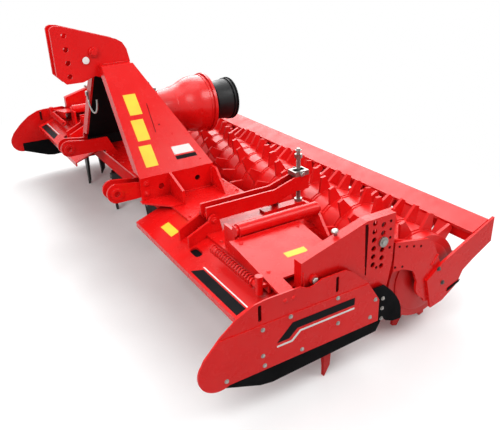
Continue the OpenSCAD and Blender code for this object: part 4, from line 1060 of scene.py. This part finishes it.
class HARROW_OT_roller_frame(bpy.types.Operator):
    """Fit the roller frame's bolts, hole rows drawn in painted shade, scraper tips and the beam's lip"""

    bl_idname = "harrow.roller_frame"
    bl_label = "Roller frame fittings"

    def execute(self, context):
        size = fittings()
        bolts, red, shaded_holes, tips, tabs, lip = meshes(6)
        for s in SIDES.values():
            out = (s, 0, 0)
            # Painted shade: dark domes for the rows of holes in the side frames
            for at in across(s * SIDE_FRAME_X, FRAME_HOLE_SHADE):
                dome(shaded_holes, at, out, 0.005)
            for at in across(s * REAR_ARM_X, REAR_ARM_BOLTS):
                bolt(bolts, at, out, size.small_bolt)
            slab(tabs, across(s * REAR_ARM_X, REAR_ARM_TAB), out, 0.003)
            weld(red, *across(s * (SIDE_FRAME_X + 0.001), REAR_ARM_WELD), size.weld)
        piece("roller_frame_bolts", bolts, "dark_steel", "roller_frame")
        piece("rear_arm_welds", red, "red_paint", "roller_frame")
        piece("frame_hole_shade", shaded_holes, "hole", "roller_frame")
        piece("rear_arm_tabs", tabs, "rubber", "roller_frame")
        slab(lip, across(-LIP_HALF, LIP_PROFILE), (1, 0, 0), 2 * LIP_HALF)
        piece("beam_lip", lip, "roller", "roller_frame")

        along = Vector((0, cos(BEAM_SLOPE), sin(BEAM_SLOPE)))
        up = Vector((0, -sin(BEAM_SLOPE), cos(BEAM_SLOPE)))
        root = Vector((0, *BEAM_EDGE)) + 0.008 * along - 0.010 * up
        towards = Vector((0, cos(SCRAPER_TURN), sin(SCRAPER_TURN)))
        tip = Vector((0, *ROLLER_AXIS)) + (DRUM + SCRAPER_GAP) * towards
        run = (root - tip).normalized()
        side = Vector((0, run[2], -run[1]))
        low = tip + 0.001 * run - TIP_THICK / 2 * side
        for k in range(1, ROLLER_RINGS):
            x = (k - ROLLER_RINGS / 2) * RING_PITCH
            corners = [low + Vector((x + way * TIP_HALF, 0, 0)) + d * run
                       for way, d in ((-1, 0.0), (1, 0.0), (1, TIP_LENGTH), (-1, TIP_LENGTH))]
            slab(tips, corners, -side, TIP_THICK)
        piece("scraper_tips", tips, "dark_steel", "roller_frame")
        return {"FINISHED"}


BEAD_RADIUS, BEAD_STEPS, BEAD_OFFSET = 0.1835, 60, 0.0085


class HARROW_OT_roller(bpy.types.Operator):
    """Lay the weld beads round the roller's tooth rings and fit its end rings"""

    bl_idname = "harrow.roller"
    bl_label = "Roller fittings"

    def execute(self, context):
        bm = bmesh.new()
        turns = [2 * pi * i / BEAD_STEPS for i in range(BEAD_STEPS + 1)]
        widths = [0.0030 + 0.0012 * ((i * 5) % 3 == 0) for i in range(BEAD_STEPS + 1)]
        y, z = ROLLER_AXIS
        round_drum = [(y + BEAD_RADIUS * cos(a), z + BEAD_RADIUS * sin(a)) for a in turns]
        for k in range(1, ROLLER_RINGS + 1):
            x = (k - (ROLLER_RINGS + 1) / 2) * RING_PITCH
            for way in (-1, 1):
                tube(bm, across(x + way * BEAD_OFFSET, round_drum), widths, 5)
        for s in SIDES.values():
            ring(bm, (s * ROLLER_HALF, *ROLLER_AXIS), (s, 0, 0), 0.045, 0.150, 0.006, 48)
        piece("roller_welds", bm, "roller", "roller")
        return {"FINISHED"}


# The holders' lower and upper faces, the first one's turn and the step to the next in degrees
HOLDER_LOW, HOLDER_HIGH = 0.218, 0.264
ROTOR_TURN, ROTOR_STEP = 110, 80
TINE_BOLT_OUT, TINE_BOLT_HALF, TINE_BOLT = 0.138, 0.016, 0.011
HUB_NUT = ((0.030, 0.0), (0.030, 0.004), (0.020, 0.006), (0.020, 0.020), (0.015, 0.022))


class HARROW_OT_rotors(bpy.types.Operator):
    """Fit the tine bolts and the hub nut of each rotor"""

    bl_idname = "harrow.rotors"
    bl_label = "Rotor fittings"

    def execute(self, context):
        for index, body in enumerate(ROTORS, 1):
            x, y, _ = middle(body)
            centre = Vector((x, y, (HOLDER_LOW + HOLDER_HIGH) / 2))
            bm = bmesh.new()
            for half_turn in (0, pi):
                a = radians(ROTOR_TURN + ROTOR_STEP * index) + half_turn
                out, side = Vector((cos(a), sin(a), 0)), Vector((-sin(a), cos(a), 0))
                for d in (-TINE_BOLT_HALF, TINE_BOLT_HALF):
                    bolt(bm, centre + TINE_BOLT_OUT * out + d * side, out, TINE_BOLT)
            lathe(bm, HUB_NUT, facing((x, y, HOLDER_LOW), (0, 0, -1)), 24)
            piece(body + "_bolts", bm, "dark_steel", body)
        return {"FINISHED"}


CLASSES = (
    HarrowFinish, HarrowFittings, HarrowStage, HARROW_OT_finishes, HARROW_OT_lid_bolts, HARROW_OT_headstock,
    HARROW_OT_gearbox, HARROW_OT_drive, HARROW_OT_guards, HARROW_OT_brackets, HARROW_OT_deflectors,
    HARROW_OT_leveller, HARROW_OT_roller_frame, HARROW_OT_roller, HARROW_OT_rotors, HARROW_OT_stage)
PIECES = ("finishes", "lid_bolts", "headstock", "gearbox", "drive", "guards", "brackets", "deflectors",
          "leveller", "roller_frame", "roller", "rotors", "stage")


GROUPS = {"harrow_finish": HarrowFinish, "harrow_fittings": HarrowFittings, "harrow_stage": HarrowStage}


class HARROW_PT_panel(bpy.types.Panel):
    """Pieces of the harrow"""

    bl_idname = "HARROW_PT_panel"
    bl_label = "Power harrow"
    bl_space_type = "VIEW_3D"
    bl_region_type = "UI"
    bl_category = "Harrow"

    def draw(self, context):
        for group in GROUPS:
            settings = getattr(context.scene, group)
            for name in settings.__annotations__:
                self.layout.prop(settings, name)
        for name in PIECES:
            self.layout.operator("harrow." + name)


def register():
    for cls in CLASSES + (HARROW_PT_panel,):
        bpy.utils.register_class(cls)
    for name, group in GROUPS.items():
        setattr(bpy.types.Scene, name, bpy.props.PointerProperty(type=group))


def unregister():
    for name in GROUPS:
        delattr(bpy.types.Scene, name)
    for cls in reversed(CLASSES + (HARROW_PT_panel,)):
        bpy.utils.unregister_class(cls)


def main():
    register()
    for name in PIECES:
        getattr(bpy.ops.harrow, name)()


if __name__ == "__main__":
    main()
